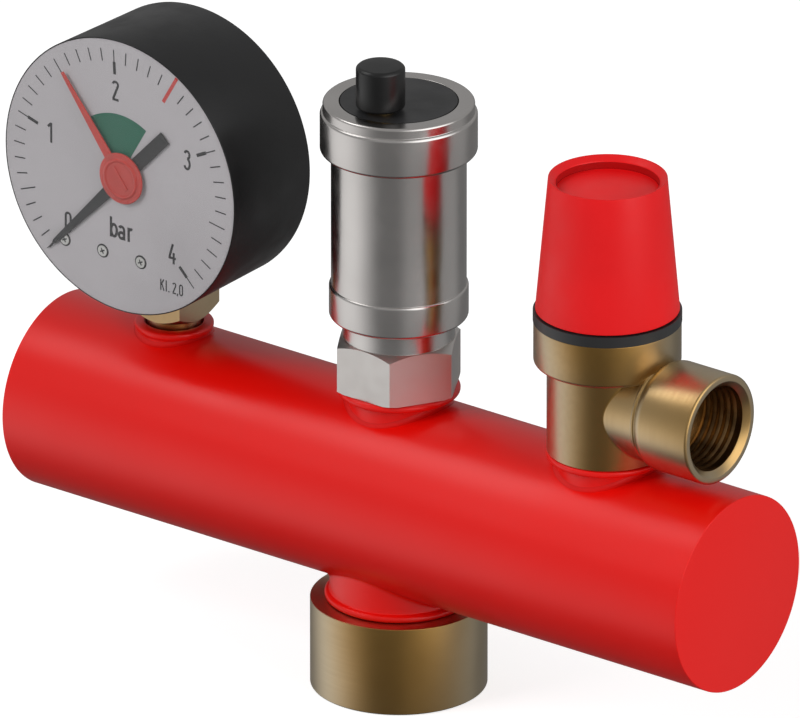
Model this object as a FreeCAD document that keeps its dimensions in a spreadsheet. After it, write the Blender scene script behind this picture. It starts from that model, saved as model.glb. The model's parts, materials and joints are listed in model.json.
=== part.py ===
import FreeCAD, Part
import os
import re

import Sketcher
from FreeCAD import Rotation, Vector

# Boiler safety group: a red pipe manifold on a brass muff, which carries a pressure gauge, an
# automatic air vent and a diaphragm safety valve.
# Frame: origin at the centre of the muff's lower face, +X along the pipe towards the safety valve,
# the gauge faces -Y, +Z up. Millimetres.

SIZES = {
    # fits
    "weld_gap": 0.05,
    "thread_gap": 0.05,
    "run_gap": 0.05,
    "rest_gap": 0.1,
    "free_gap": 0.3,
    # pipe
    "pipe_radius": 22.0,
    "pipe_wall": 2.0,
    "pipe_length": 185.0,
    "pipe_over_muff": 2.9,
    "end_cap_thick": 3.0,
    # collars on the pipe
    "collar_depth": 8.0,
    "rim_thick": 1.6,
    "rim_round": 0.7,
    "gauge_rim_height": 1.9,
    "gauge_rim_radius": 8.7,
    "gauge_neck_radius": 7.8,
    "gauge_thread_radius": 6.4,
    "vent_rim_height": 3.0,
    "vent_rim_radius": 13.45,
    "vent_neck_radius": 11.1,
    "valve_rim_height": 2.8,
    "valve_rim_radius": 13.3,
    "valve_neck_radius": 11.0,
    "inlet_thread_radius": 8.33,
    # boiler connection
    "muff_radius": 19.3,
    "muff_height": 20.2,
    "muff_thread_radius": 15.15,
    "muff_thread_length": 14.0,
    "muff_land_thick": 1.5,
    "base_neck_radius": 15.05,
    "base_neck_wall": 2.6,
    "base_bead_radius": 16.15,
    "base_bead_thick": 1.7,
    "base_neck_reach": 9.9,
    # gauge case, window and dial
    "gauge_from_end": 30.5,
    "gauge_height": 39.9,
    "case_back_y": 8.6,
    "case_depth": 27.5,
    "case_front_radius": 31.7,
    "case_back_radius": 31.15,
    "case_wall": 1.65,
    "case_lip": 0.4,
    "case_round": 0.6,
    "case_seat_gap": 0.35,
    "case_seat_radius": 3.3,
    "case_screw_length": 7.6,
    "dial_recess": 0.8,
    "dial_thick": 0.5,
    "window_proud": 2.6,
    "window_thick": 0.8,
    "window_slope": 1.4,
    "dial_screw_spacing": 10.4,
    "dial_screw_first_u": -15.2,
    "dial_screw_w": -18.7,
    "dial_screw_radius": 0.8,
    "dial_screw_head_radius": 1.35,
    "dial_screw_head_thick": 0.55,
    "dial_screw_length": 5.0,
    "pillar_radius": 1.6,
    # gauge stem
    "stem_square": 14.0,
    "stem_square_clear": 1.6,
    "stem_chamfer_drop": 2.1,
    "stem_undercut_radius": 5.9,
    "stem_undercut_depth": 3.0,
    "stem_depth": 9.5,
    "stem_bore_radius": 1.5,
    "stem_neck_radius": 5.0,
    "stem_block_width": 16.0,
    "stem_block_depth": 10.0,
    "stem_block_bottom_w": -28.6,
    "stem_block_top_w": -16.5,
    # bourdon tube
    "tube_radius": 20.0,
    "tube_thick": 2.0,
    "tube_width": 9.0,
    "tube_wall": 0.35,
    "tube_start_angle": 250.0,
    "tube_tip_angle": -20.0,
    "tip_pin_radius": 0.5,
    "tip_pin_inset": 1.8,
    "tip_pin_offset": 1.4,
    # movement
    "plate_thick": 1.0,
    "plate_spacing": 7.0,
    "arbor_u": 1.0,
    "arbor_w": 0.0,
    "gear_module": 0.3,
    "pinion_teeth": 12,
    "gear_ratio": 8,
    "sector_thick": 1.0,
    "sector_first_tooth": 52.5,
    "sector_tooth_count": 12,
    "tooth_share": 0.38,
    "staff_radius": 0.8,
    "pivot_radius": 0.45,
    "tail_length": 5.5,
    "tail_angle": -17.0,
    "link_thick": 0.8,
    "spring_strip": 0.2,
    "spring_step": 0.5,
    "spring_half_turns": 8,
    "spring_inner_gap": 0.7,
    "spring_stud_u": 7.0,
    "spring_width": 0.6,
    # pointers
    "pointer_gap": 0.85,
    "pointer_thick": 0.35,
    "pointer_tip": 29.1,
    "pointer_tail": 16.9,
    "pointer_tail_width": 3.1,
    "pointer_rest_angle": 227.0,
    "set_pointer_thick": 0.45,
    "set_pointer_tip": 26.4,
    "set_pointer_angle": 128.0,
    "set_hub_radius": 5.85,
    "set_dome_radius": 4.5,
    "set_dome_height": 0.3,
    "set_head_radius": 3.3,
    "set_slot_width": 0.9,
    "set_slot_depth": 0.6,
    # air vent shut-off
    "hexagon": 25.0,
    "hexagon_height": 11.7,
    "hexagon_chamfer_radius": 12.35,
    "hexagon_chamfer_drop": 1.25,
    "hexagon_foot_radius": 13.6,
    "hexagon_foot_drop": 0.5,
    "stub_depth": 10.1,
    "shutoff_socket_depth": 8.3,
    "shutoff_seat_depth": 12.3,
    "shutoff_bore_radius": 5.5,
    "shutoff_seat_radius": 4.0,
    "shutoff_lip_radius": 3.8,
    "shutoff_lip_thick": 0.8,
    "seal_ring_radius": 10.4,
    "seal_ring_thick": 1.0,
    "plunger_disc_radius": 5.1,
    "plunger_disc_thick": 1.4,
    "plunger_open_drop": 2.1,
    "plunger_stem_radius": 1.6,
    "plunger_head_radius": 3.8,
    "plunger_head_thick": 1.2,
    "shutoff_wire": 0.35,
    "shutoff_spring_turns": 4,
    # air vent body and head
    "vent_stub_length": 7.8,
    "vent_bore_radius": 3.0,
    "vent_neck_ring_radius": 12.25,
    "vent_neck_height": 4.6,
    "vent_lower_ring_height": 7.6,
    "vent_lower_ring_radius": 15.15,
    "vent_barrel_radius": 14.7,
    "vent_barrel_height": 31.0,
    "vent_spigot_radius": 14.0,
    "vent_spigot_height": 6.0,
    "vent_chamber_radius": 12.7,
    "vent_floor_thick": 1.0,
    "vent_head_radius": 17.1,
    "vent_head_rim_height": 9.1,
    "vent_head_step_height": 2.4,
    "vent_head_step_radius": 16.5,
    "vent_head_seal_thick": 1.6,
    "vent_ledge_radius": 11.5,
    "vent_edge": 0.5,
    "insert_radius": 12.74,
    "insert_recess_radius": 12.95,
    "insert_thick": 2.5,
    "insert_skirt_wall": 1.5,
    "insert_skirt_depth": 7.5,
    # air vent float and needle
    "float_radius": 11.8,
    "float_floor_gap": 0.4,
    "float_height": 32.7,
    "float_wall": 1.2,
    "float_stalk_radius": 0.9,
    "float_collar_radius": 2.0,
    "float_collar_thick": 0.8,
    "collar_play": 0.65,
    "lever_pivot_y": -9.6,
    "lever_pivot_depth": 2.6,
    "lever_angle": 10.0,
    "lever_length": 10.0,
    "lever_thick": 0.8,
    "lever_width": 3.0,
    "lever_eye_radius": 2.4,
    "lever_pin_radius": 0.6,
    "lug_thick": 1.0,
    "nozzle_y": -6.4,
    "nozzle_radius": 3.0,
    "nozzle_height": 7.3,
    "nozzle_bore_radius": 0.9,
    "nozzle_boss_radius": 4.2,
    "needle_radius": 1.6,
    "needle_pin_radius": 0.6,
    "needle_travel": 1.11,
    "needle_seat_gap": 0.19,
    "vent_cap_radius": 5.35,
    "vent_cap_clear": 0.8,
    "vent_cap_cover": 3.0,
    "vent_cap_edge": 0.6,
    "washer_thick": 0.7,
    # safety valve body
    "valve_from_end": 35.5,
    "valve_body_radius": 13.1,
    "valve_flange_height": 20.5,
    "valve_flange_radius": 16.0,
    "valve_flange_thick": 9.7,
    "valve_flange_round": 0.5,
    "valve_bore_radius": 5.5,
    "valve_chamber_radius": 11.0,
    "valve_chamber_drop": 6.25,
    "valve_seat_height": 8.0,
    "valve_seat_radius": 7.0,
    "bonnet_thread_length": 7.1,
    "bonnet_thread_radius": 13.95,
    "outlet_height": 12.35,
    "outlet_root_radius": 10.9,
    "outlet_fillet": 1.3,
    "outlet_radius": 12.3,
    "outlet_reach": 30.7,
    "outlet_sleeve_length": 13.7,
    "outlet_shoulder": 1.2,
    "outlet_edge": 0.5,
    "outlet_thread_radius": 9.32,
    "outlet_thread_length": 13.0,
    "outlet_mouth_radius": 10.7,
    "outlet_passage_radius": 8.5,
    # safety valve inner pieces
    "diaphragm_thick": 1.0,
    "bonnet_ring_radius": 16.12,
    "bonnet_ring_thick": 2.4,
    "bonnet_tower_radius": 11.4,
    "bonnet_tower_height": 17.5,
    "bonnet_bore_radius": 9.8,
    "cam_count": 3,
    "cam_span": 60.0,
    "cam_rise": 2.0,
    "cam_inset": 0.1,
    "valve_stem_radius": 2.5,
    "disc_radius": 7.9,
    "disc_rim_thick": 2.8,
    "disc_hub_radius": 4.5,
    "seal_radius": 7.2,
    "seal_thick": 1.7,
    "spring_plate_radius": 9.0,
    "spring_plate_thick": 1.6,
    "spring_collar_radius": 5.2,
    "spring_collar_height": 1.6,
    "spring_radius": 6.9,
    "spring_wire": 1.1,
    "spring_turns": 4,
    "adjuster_depth": 7.6,
    "adjuster_thick": 4.6,
    "adjuster_bore_radius": 3.2,
    "adjuster_slot": 3.0,
    # knob
    "knob_clear": 0.3,
    "knob_base_radius": 15.63,
    "knob_crest_radius": 12.88,
    "knob_height": 30.6,
    "knob_recess_radius": 11.17,
    "knob_crest_drop": 1.2,
    "knob_wall": 1.8,
    "knob_plug_depth": 1.6,
    "knob_plug_thick": 1.2,
    "knob_roof_depth": 4.0,
    "knob_cam_radius": 12.4,
    "knob_screw_radius": 1.5,
    "knob_screw_head_radius": 3.2,
    "knob_screw_head_thick": 1.3,
    "knob_screw_length": 8.0,
}

# Places and sizes that follow from the driving ones.
DERIVED = {
    "gauge_x": "gauge_from_end - pipe_length / 2",
    "valve_x": "pipe_length / 2 - valve_from_end",
    "outlet_mouth_x": "valve_x + outlet_reach",
    "pipe_bottom": "muff_height + pipe_over_muff",
    "pipe_axis_z": "pipe_bottom + pipe_radius",
    "pipe_top": "pipe_axis_z + pipe_radius",
    "gauge_rim_top": "pipe_top + gauge_rim_height",
    "vent_rim_top": "pipe_top + vent_rim_height",
    "valve_rim_top": "pipe_top + valve_rim_height",
    "gauge_z": "gauge_rim_top + gauge_height",
    "stem_square_bottom": "gauge_rim_top + stem_square_clear",
    "stem_undercut_bottom": "gauge_rim_top - stem_undercut_depth",
    "stem_bottom": "gauge_rim_top - stem_depth",
    "hexagon_top": "vent_rim_top + hexagon_height",
    "shutoff_socket_floor": "hexagon_top - shutoff_socket_depth",
    "shutoff_seat_z": "hexagon_top - shutoff_seat_depth",
    "vent_stub_bottom": "hexagon_top - vent_stub_length",
    "vent_lower_ring_z": "hexagon_top + vent_neck_height",
    "vent_lower_ring_top": "vent_lower_ring_z + vent_lower_ring_height",
    "vent_barrel_top": "vent_lower_ring_top + vent_barrel_height",
    "vent_spigot_top": "vent_barrel_top + vent_spigot_height",
    "vent_chamber_floor": "vent_lower_ring_z + vent_floor_thick",
    "vent_head_step_z": "vent_barrel_top + vent_head_rim_height",
    "vent_head_top": "vent_head_step_z + vent_head_step_height",
    "vent_ledge_z": "vent_spigot_top + vent_head_seal_thick",
    "insert_skirt_bottom": "vent_head_top - insert_skirt_depth",
    "float_bottom": "vent_chamber_floor + float_floor_gap",
    "lever_pivot_z": "insert_skirt_bottom - lever_pivot_depth",
    "nozzle_top": "vent_head_top + nozzle_height",
    "vent_cap_bottom": "vent_head_top + vent_cap_clear",
    "vent_cap_top": "nozzle_top + vent_cap_cover",
    "valve_flange_z": "valve_rim_top + valve_flange_height",
    "valve_flange_top": "valve_flange_z + valve_flange_thick",
    "outlet_z": "valve_rim_top + outlet_height",
    "valve_chamber_floor": "outlet_z - valve_chamber_drop",
    "valve_seat_z": "valve_chamber_floor + valve_seat_height",
    "valve_ledge_z": "valve_flange_top - bonnet_thread_length",
    "bonnet_ring_top": "valve_flange_top + bonnet_ring_thick",
    "bonnet_tower_top": "bonnet_ring_top + bonnet_tower_height",
    "adjuster_z": "bonnet_tower_top - adjuster_depth",
    "knob_bottom": "bonnet_ring_top + knob_clear",
    "knob_crest_z": "knob_bottom + knob_height",
    "knob_recess_edge_z": "knob_crest_z - knob_crest_drop",
    "knob_plug_top": "knob_recess_edge_z - knob_plug_depth",
    "knob_roof_z": "knob_plug_top - knob_roof_depth",
    "collar_bottom": "pipe_top - collar_depth",
    "base_neck_bottom": "muff_thread_length + muff_land_thick",
    "case_front_y": "case_back_y - case_depth",
    "case_seat_f": "case_back_y - stem_block_depth / 2 - case_seat_gap",
    "case_inner_radius": "case_front_radius - case_wall",
    "dial_back_f": "case_depth - dial_recess - dial_thick",
    "dial_front_f": "case_depth - dial_recess",
    "dial_back_y": "case_back_y - dial_back_f",
    "dial_front_y": "case_back_y - dial_front_f",
    "window_radius": "case_front_radius - case_lip - thread_gap",
    "window_front_f": "case_depth + window_proud",
    "stem_block_front_y": "-stem_block_depth / 2",
    "stem_block_bottom": "gauge_z + stem_block_bottom_w",
    "stem_block_top": "gauge_z + stem_block_top_w",
    "back_plate_front_y": "stem_block_front_y - plate_thick",
    "front_plate_back_y": "back_plate_front_y - plate_spacing",
    "front_plate_front_y": "front_plate_back_y - plate_thick",
    "pinion_radius": "gear_module * pinion_teeth / 2",
    "sector_radius": "pinion_radius * gear_ratio",
    "sector_u": "arbor_u",
    "sector_w": "arbor_w - pinion_radius - sector_radius",
    "sector_back_y": "back_plate_front_y - 2",
    "sector_front_y": "sector_back_y - sector_thick",
    "link_back_y": "sector_front_y - 0.4",
    "tail_u": "sector_u + tail_length * cos(tail_angle)",
    "tail_w": "sector_w + tail_length * sin(tail_angle)",
    "tip_reach": "tube_radius - tip_pin_inset",
    "tip_pin_u": "tip_reach * cos(tube_tip_angle) + tip_pin_offset * sin(tube_tip_angle)",
    "tip_pin_w": "tip_reach * sin(tube_tip_angle) - tip_pin_offset * cos(tube_tip_angle)",
    "link_u": "tip_pin_u - tail_u",
    "link_w": "tip_pin_w - tail_w",
    "pointer_back_y": "dial_front_y - pointer_gap",
    "pointer_front_y": "pointer_back_y - pointer_thick",
    "set_pointer_back_y": "pointer_front_y - free_gap",
    "set_pointer_front_y": "set_pointer_back_y - set_pointer_thick",
    "window_inner_y": "case_back_y - window_front_f + window_thick",
    "vent_stub_radius": "inlet_thread_radius",
    "hexagon_corner": "hexagon / 2 / cos(30)",
    "shutoff_bottom": "vent_rim_top - stub_depth",
    "plunger_disc_top": "shutoff_seat_z - plunger_open_drop",
    "plunger_disc_bottom": "plunger_disc_top - plunger_disc_thick",
    "insert_bottom": "vent_head_top - insert_thick",
    "insert_skirt_radius": "vent_ledge_radius - thread_gap",
    "float_link_y": "lever_pivot_y + lever_length * cos(lever_angle)",
    "float_link_z": "lever_pivot_z - lever_length * sin(lever_angle)",
    "needle_top": "insert_skirt_bottom - needle_seat_gap - needle_travel",
    "cap_roof_z": "nozzle_top + rest_gap + washer_thick",
    "valve_stub_bottom": "valve_rim_top - stub_depth",
    "outlet_sleeve_x": "outlet_mouth_x - outlet_sleeve_length",
    "diaphragm_top": "valve_ledge_z + diaphragm_thick",
    "bonnet_inner_radius": "bonnet_bore_radius",
    "seal_bottom": "valve_seat_z + rest_gap",
    "disc_bottom": "seal_bottom + seal_thick - disc_rim_thick / 2",
    "spring_plate_z": "diaphragm_top + rest_gap",
    "spring_bottom": "spring_plate_z + spring_plate_thick",
    "stem_top": "knob_roof_z - rest_gap",
    "knob_floor_z": "knob_plug_top - knob_plug_thick",
    "knob_slope": "(knob_base_radius - knob_crest_radius) / (knob_crest_z - knob_bottom)",
    "knob_inner_base": "knob_base_radius - knob_wall",
    "knob_inner_roof": "knob_inner_base - knob_slope * (knob_roof_z - knob_bottom)",
    "screw_seat_z": "knob_floor_z - knob_screw_head_thick - rest_gap",
    "cam_start_z": "bonnet_tower_top + free_gap",
    "knob_cam_z": "bonnet_tower_top + cam_rise + free_gap + rest_gap",
}

doc = FreeCAD.newDocument("boiler_safety_group")
sheet = doc.addObject("Spreadsheet::Sheet", "sizes")
for row, (alias, number) in enumerate(SIZES.items(), start=1):
    sheet.set(f"A{row}", alias)
    sheet.set(f"B{row}", str(number))
    sheet.setAlias(f"B{row}", alias)
doc.recompute()

# Local Z points out of the gauge's face, local X to the right and local Y up.
FACING_FRONT = Rotation(Vector(1, 0, 0), 90)
ALONG_X = Rotation(Vector(0, 1, 0), 90)
ALONG_Y = Rotation(Vector(1, 0, 0), -90)
UPRIGHT = Rotation()


def bound(formula):
    """The formula with every size named by its cell, and every derived name written out."""
    def cell(match):
        word = match.group(0)
        if word in SIZES:
            return "sizes." + word
        if word in DERIVED:
            return "(" + bound(DERIVED[word]) + ")"
        return word
    return re.sub(r"[a-z][a-z_]*", cell, str(formula))


def value(formula):
    return float(sheet.evalExpression(bound(formula)))


def bind(item, prop, formula):
    item.setExpression(prop, bound(formula))


def place(item, x="0", y="0", z="0", turn=UPRIGHT):
    item.Placement = FreeCAD.Placement(Vector(value(x), value(y), value(z)), turn)
    for axis, formula in zip("xyz", (x, y, z)):
        bind(item, "Placement.Base." + axis, formula)
    return item


def new_body(name, x="0", y="0", z="0", turn=UPRIGHT):
    body = doc.addObject("PartDesign::Body", name)
    body.Label = name
    return place(body, x, y, z, turn)


def sketch_on(body, plane, name, offset=None):
    sketch = body.newObject("Sketcher::SketchObject", name)
    support = next(item for item in body.Origin.OriginFeatures if item.Role == plane)
    sketch.AttachmentSupport = [(support, "")]
    sketch.MapMode = "FlatFace"
    if offset is not None:
        bind(sketch, "AttachmentOffset.Base.z", offset)
    return sketch


def outline(sketch, points):
    """A closed outline of straight runs, each corner held by two bound distances."""
    corners = [Vector(value(across), value(up), 0) for across, up in points]
    first = sketch.GeometryCount
    last = len(corners) - 1
    for index, corner in enumerate(corners):
        following = corners[(index + 1) % len(corners)]
        sketch.addGeometry(Part.LineSegment(corner, following))
    for index, (across, up) in enumerate(points):
        edge = first + index
        following = first if index == last else edge + 1
        sketch.addConstraint(Sketcher.Constraint("Coincident", edge, 2, following, 1))
        for kind, formula in (("DistanceX", across), ("DistanceY", up)):
            length = value(formula)
            number = sketch.addConstraint(Sketcher.Constraint(kind, -1, 1, edge, 1, length))
            bind(sketch, f"Constraints[{number}]", formula)


def circle(sketch, across, up, radius):
    centre = Vector(value(across), value(up), 0)
    edge = sketch.addGeometry(Part.Circle(centre, Vector(0, 0, 1), value(radius)))
    for kind, formula in (("DistanceX", across), ("DistanceY", up)):
        number = sketch.addConstraint(Sketcher.Constraint(kind, -1, 1, edge, 3, value(formula)))
        bind(sketch, f"Constraints[{number}]", formula)
    number = sketch.addConstraint(Sketcher.Constraint("Radius", edge, value(radius)))
    bind(sketch, f"Constraints[{number}]", radius)


def turned(name, profile, x="0", y="0", z="0", turn=UPRIGHT):
    """A body turned on a lathe: radius and height of each corner of its half section."""
    body = new_body(name, x, y, z, turn)
    sketch = sketch_on(body, "XZ_Plane", name + "_profile")
    outline(sketch, profile)
    revolution = body.newObject("PartDesign::Revolution", name + "_turning")
    revolution.Profile = sketch
    revolution.ReferenceAxis = (sketch, ["V_Axis"])
    revolution.Angle = 360
    return body


def padded(name, draw, thick, x="0", y="0", z="0", turn=UPRIGHT):
    """A body cut from a plate: draw puts the outlines into its sketch."""
    body = new_body(name, x, y, z, turn)
    add_pad(body, name + "_blank", draw, thick)
    return body


def add_pad(body, name, draw, thick, offset=None):
    sketch = sketch_on(body, "XY_Plane", name + "_outline", offset)
    draw(sketch)
    pad = body.newObject("PartDesign::Pad", name)
    pad.Profile = sketch
    bind(pad, "Length", thick)
    return pad


def groove(body, name, profile):
    sketch = sketch_on(body, "XZ_Plane", name + "_profile")
    outline(sketch, profile)
    cut = body.newObject("PartDesign::Groove", name)
    cut.Profile = sketch
    cut.ReferenceAxis = (sketch, ["V_Axis"])
    cut.Angle = 360
    return cut


def add_cylinder(body, name, radius, length, x="0", y="0", z="0", turn=UPRIGHT):
    boss = body.newObject("PartDesign::AdditiveCylinder", name)
    bind(boss, "Radius", radius)
    bind(boss, "Height", length)
    return place(boss, x, y, z, turn)


def drill(body, name, radius, length, x="0", y="0", z="0", turn=UPRIGHT):
    hole = body.newObject("PartDesign::SubtractiveCylinder", name)
    bind(hole, "Radius", radius)
    bind(hole, "Height", length)
    return place(hole, x, y, z, turn)


def box_feature(body, kind, name, size, corner):
    block = body.newObject(kind, name)
    for prop, formula in zip(("Length", "Width", "Height"), size):
        bind(block, prop, formula)
    return place(block, *corner)


def add_box(body, name, size, corner):
    return box_feature(body, "PartDesign::AdditiveBox", name, size, corner)


def mill_box(body, name, size, corner):
    return box_feature(body, "PartDesign::SubtractiveBox", name, size, corner)


def round_edges(body, name, radius, wanted):
    """A fillet on the circular edges of the body's last feature that wanted picks out."""
    doc.recompute()
    base = body.Tip
    names = []
    for index, edge in enumerate(base.Shape.Edges, start=1):
        if isinstance(edge.Curve, Part.Circle) and wanted(edge.Curve):
            names.append(f"Edge{index}")
    fillet = body.newObject("PartDesign::Fillet", name)
    fillet.Base = (base, names)
    bind(fillet, "Radius", radius)
    return fillet


def round_crossing(body, name, radius, wanted):
    """A fillet where two round forms cross, on the edges whose bounds wanted picks out."""
    doc.recompute()
    base = body.Tip
    names = []
    for index, edge in enumerate(base.Shape.Edges, start=1):
        if not isinstance(edge.Curve, (Part.Circle, Part.Line)) and wanted(edge.BoundBox):
            names.append(f"Edge{index}")
    fillet = body.newObject("PartDesign::Fillet", name)
    fillet.Base = (base, names)
    bind(fillet, "Radius", radius)


def close(first, second):
    return abs(first - second) < 0.01


def repeat_about_z(body, name, feature, count, angle="360"):
    pattern = body.newObject("PartDesign::PolarPattern", name)
    pattern.Originals = [feature]
    axis = next(item for item in body.Origin.OriginFeatures if item.Role == "Z_Axis")
    pattern.Axis = (axis, [""])
    bind(pattern, "Angle", angle)
    bind(pattern, "Occurrences", count)
    body.Tip = pattern
    return pattern


def coil(name, radius, wire, length, turns, x, y, z):
    """A helical spring of round wire, its first turn's centre one wire radius up."""
    body = new_body(name, x, y, z)
    sketch = sketch_on(body, "XZ_Plane", name + "_wire")
    circle(sketch, radius, wire, wire)
    helix = body.newObject("PartDesign::AdditiveHelix", name + "_coil")
    helix.Profile = sketch
    helix.ReferenceAxis = (sketch, ["V_Axis"])
    helix.Mode = "height-turns-angle"
    bind(helix, "Height", f"{length} - 2 * {wire}")
    bind(helix, "Turns", turns)
    return body


# Manifold pipe, with its end discs and its collars.
def make_manifold():
    tube = new_body("manifold_tube", "-pipe_length / 2", "0", "pipe_axis_z")
    ring = sketch_on(tube, "YZ_Plane", "pipe_section")
    circle(ring, "0", "0", "pipe_radius")
    circle(ring, "0", "0", "pipe_radius - pipe_wall")
    pad = tube.newObject("PartDesign::Pad", "pipe_run")
    pad.Profile = ring
    bind(pad, "Length", "pipe_length")
    for name, x, radius in (
        ("gauge_collar_hole", "gauge_x", "gauge_neck_radius"),
        ("vent_collar_hole", "0", "vent_neck_radius"),
        ("valve_collar_hole", "valve_x", "valve_neck_radius"),
    ):
        drill(tube, name, radius + " + weld_gap", "pipe_radius + 1", x + " + pipe_length / 2")
    base = drill(tube, "base_neck_hole", "base_neck_radius + weld_gap", "pipe_radius + 1")
    place(base, "pipe_length / 2", "0", "-pipe_radius - 1")
    cap_radius = "pipe_radius - pipe_wall - weld_gap"
    for name, x in (("end_cap_left", "-pipe_length / 2"),
                    ("end_cap_right", "pipe_length / 2 - end_cap_thick")):
        disc = [("0", "0"), (cap_radius, "0"), (cap_radius, "end_cap_thick"), ("0", "end_cap_thick")]
        turned(name, disc, x, "0", "pipe_axis_z", ALONG_X)


def make_collar(name, x, top, rim, neck, thread):
    """A collar let into the pipe, with a rolled rim that the fitting sits on."""
    height = f"({top} - collar_bottom)"
    hole = f"{thread} + thread_gap"
    body = turned(name, [
        (hole, "0"),
        (neck, "0"),
        (neck, height + " - rim_thick"),
        (rim, height + " - rim_thick"),
        (rim, height),
        (hole, height),
    ], x, "0", "collar_bottom")
    round_edges(body, name + "_rolled_rim", "rim_round", lambda ring: close(ring.Radius, value(rim)))


def make_base():
    turned("base_muff", [
        ("muff_thread_radius", "0"),
        ("muff_radius", "0"),
        ("muff_radius", "muff_height"),
        ("base_neck_radius + weld_gap", "muff_height"),
        ("base_neck_radius + weld_gap", "base_neck_bottom"),
        ("base_neck_radius - base_neck_wall", "base_neck_bottom"),
        ("base_neck_radius - base_neck_wall", "muff_thread_length"),
        ("muff_thread_radius", "muff_thread_length"),
    ])
    seat = "muff_height - base_neck_bottom"
    neck_length = "pipe_bottom + base_neck_reach - base_neck_bottom"
    neck = turned("base_neck", [
        ("base_neck_radius - base_neck_wall", "0"),
        ("base_neck_radius", "0"),
        ("base_neck_radius", seat),
        ("base_bead_radius", seat),
        ("base_bead_radius", seat + " + base_bead_thick"),
        ("base_neck_radius", seat + " + base_bead_thick"),
        ("base_neck_radius", neck_length),
        ("base_neck_radius - base_neck_wall", neck_length),
    ], "0", "0", "base_neck_bottom")
    round_edges(neck, "base_bead", "rim_round",
                lambda ring: close(ring.Radius, value("base_bead_radius")))


# Pressure gauge. Local u runs right from the case's axis, w up, f forward from the case's back.
def make_gauge_case():
    case = turned("gauge_case", [
        ("0", "0"),
        ("case_back_radius", "0"),
        ("case_front_radius", "case_depth"),
        ("window_radius + thread_gap", "case_depth"),
        ("window_radius + thread_gap", "dial_back_f"),
        ("case_inner_radius", "dial_back_f"),
        ("case_inner_radius", "case_wall"),
        ("0", "case_wall"),
    ], "gauge_x", "case_back_y", "gauge_z", FACING_FRONT)
    round_edges(case, "case_back_round", "case_round",
                lambda ring: close(ring.Radius, value("case_back_radius")))
    add_cylinder(case, "dial_boss", "pillar_radius + 0.6", "dial_back_f - case_wall / 2",
                 "dial_screw_first_u", "dial_screw_w", "case_wall / 2")
    drill(case, "dial_boss_pilot", "dial_screw_radius + thread_gap", "dial_screw_length",
          "dial_screw_first_u", "dial_screw_w", "dial_front_f - dial_screw_length")
    drill(case, "stem_hole", "stem_neck_radius + run_gap", "case_wall * 4",
          "0", "-case_back_radius - case_wall", "case_back_y", ALONG_Y_UP)
    for name, u in CASE_SCREWS:
        add_cylinder(case, name + "_boss", "case_seat_radius", "case_seat_f - case_wall / 2",
                     u, CASE_SCREW_W, "case_wall / 2")
    for name, u in CASE_SCREWS:
        drill(case, name + "_hole", "1.6", "case_seat_f + 2", u, CASE_SCREW_W, "-1")
        sink = case.newObject("PartDesign::SubtractiveCone", name + "_sink")
        bind(sink, "Radius1", "3.05")
        bind(sink, "Radius2", "1.6")
        bind(sink, "Height", "1.45")
        place(sink, u, CASE_SCREW_W, "0")


ALONG_Y_UP = Rotation(Vector(1, 0, 0), -90)
CASE_SCREW_W = "-23.5"
CASE_SCREWS = (("left_case_screw", "-5"), ("right_case_screw", "5"))


def make_case_screws():
    screws = turned("case_screws", [
        ("0", "0"),
        ("3", "0"),
        ("1.5", "1.5"),
        ("1.5", "case_screw_length"),
        ("0", "case_screw_length"),
    ], "gauge_x - 5", "case_back_y", f"gauge_z + ({CASE_SCREW_W})", FACING_FRONT)
    row_along_x(screws, "both_case_screws", "10", "2")


def row_along_x(body, name, length, count):
    original = body.Tip
    pattern = body.newObject("PartDesign::LinearPattern", name)
    pattern.Originals = [original]
    axis = next(item for item in body.Origin.OriginFeatures if item.Role == "X_Axis")
    pattern.Direction = (axis, [""])
    bind(pattern, "Length", length)
    bind(pattern, "Occurrences", count)
    body.Tip = pattern
    return pattern


def make_gauge_window():
    window = turned("gauge_window", [
        ("0", "window_front_f"),
        ("window_radius - window_slope", "window_front_f"),
        ("window_radius", "window_front_f - window_slope"),
        ("window_radius", "dial_front_f + weld_gap"),
        ("window_radius - window_thick", "dial_front_f + weld_gap"),
        ("window_radius - window_thick", "window_front_f - window_slope - window_thick / 3"),
        ("window_radius - window_slope - window_thick / 3", "window_front_f - window_thick"),
        ("0", "window_front_f - window_thick"),
    ], "gauge_x", "case_back_y", "gauge_z", FACING_FRONT)
    drill(window, "spindle_hole", "set_head_radius + run_gap", "window_thick * 3",
          "arbor_u", "arbor_w", "window_front_f - window_thick * 2")


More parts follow.
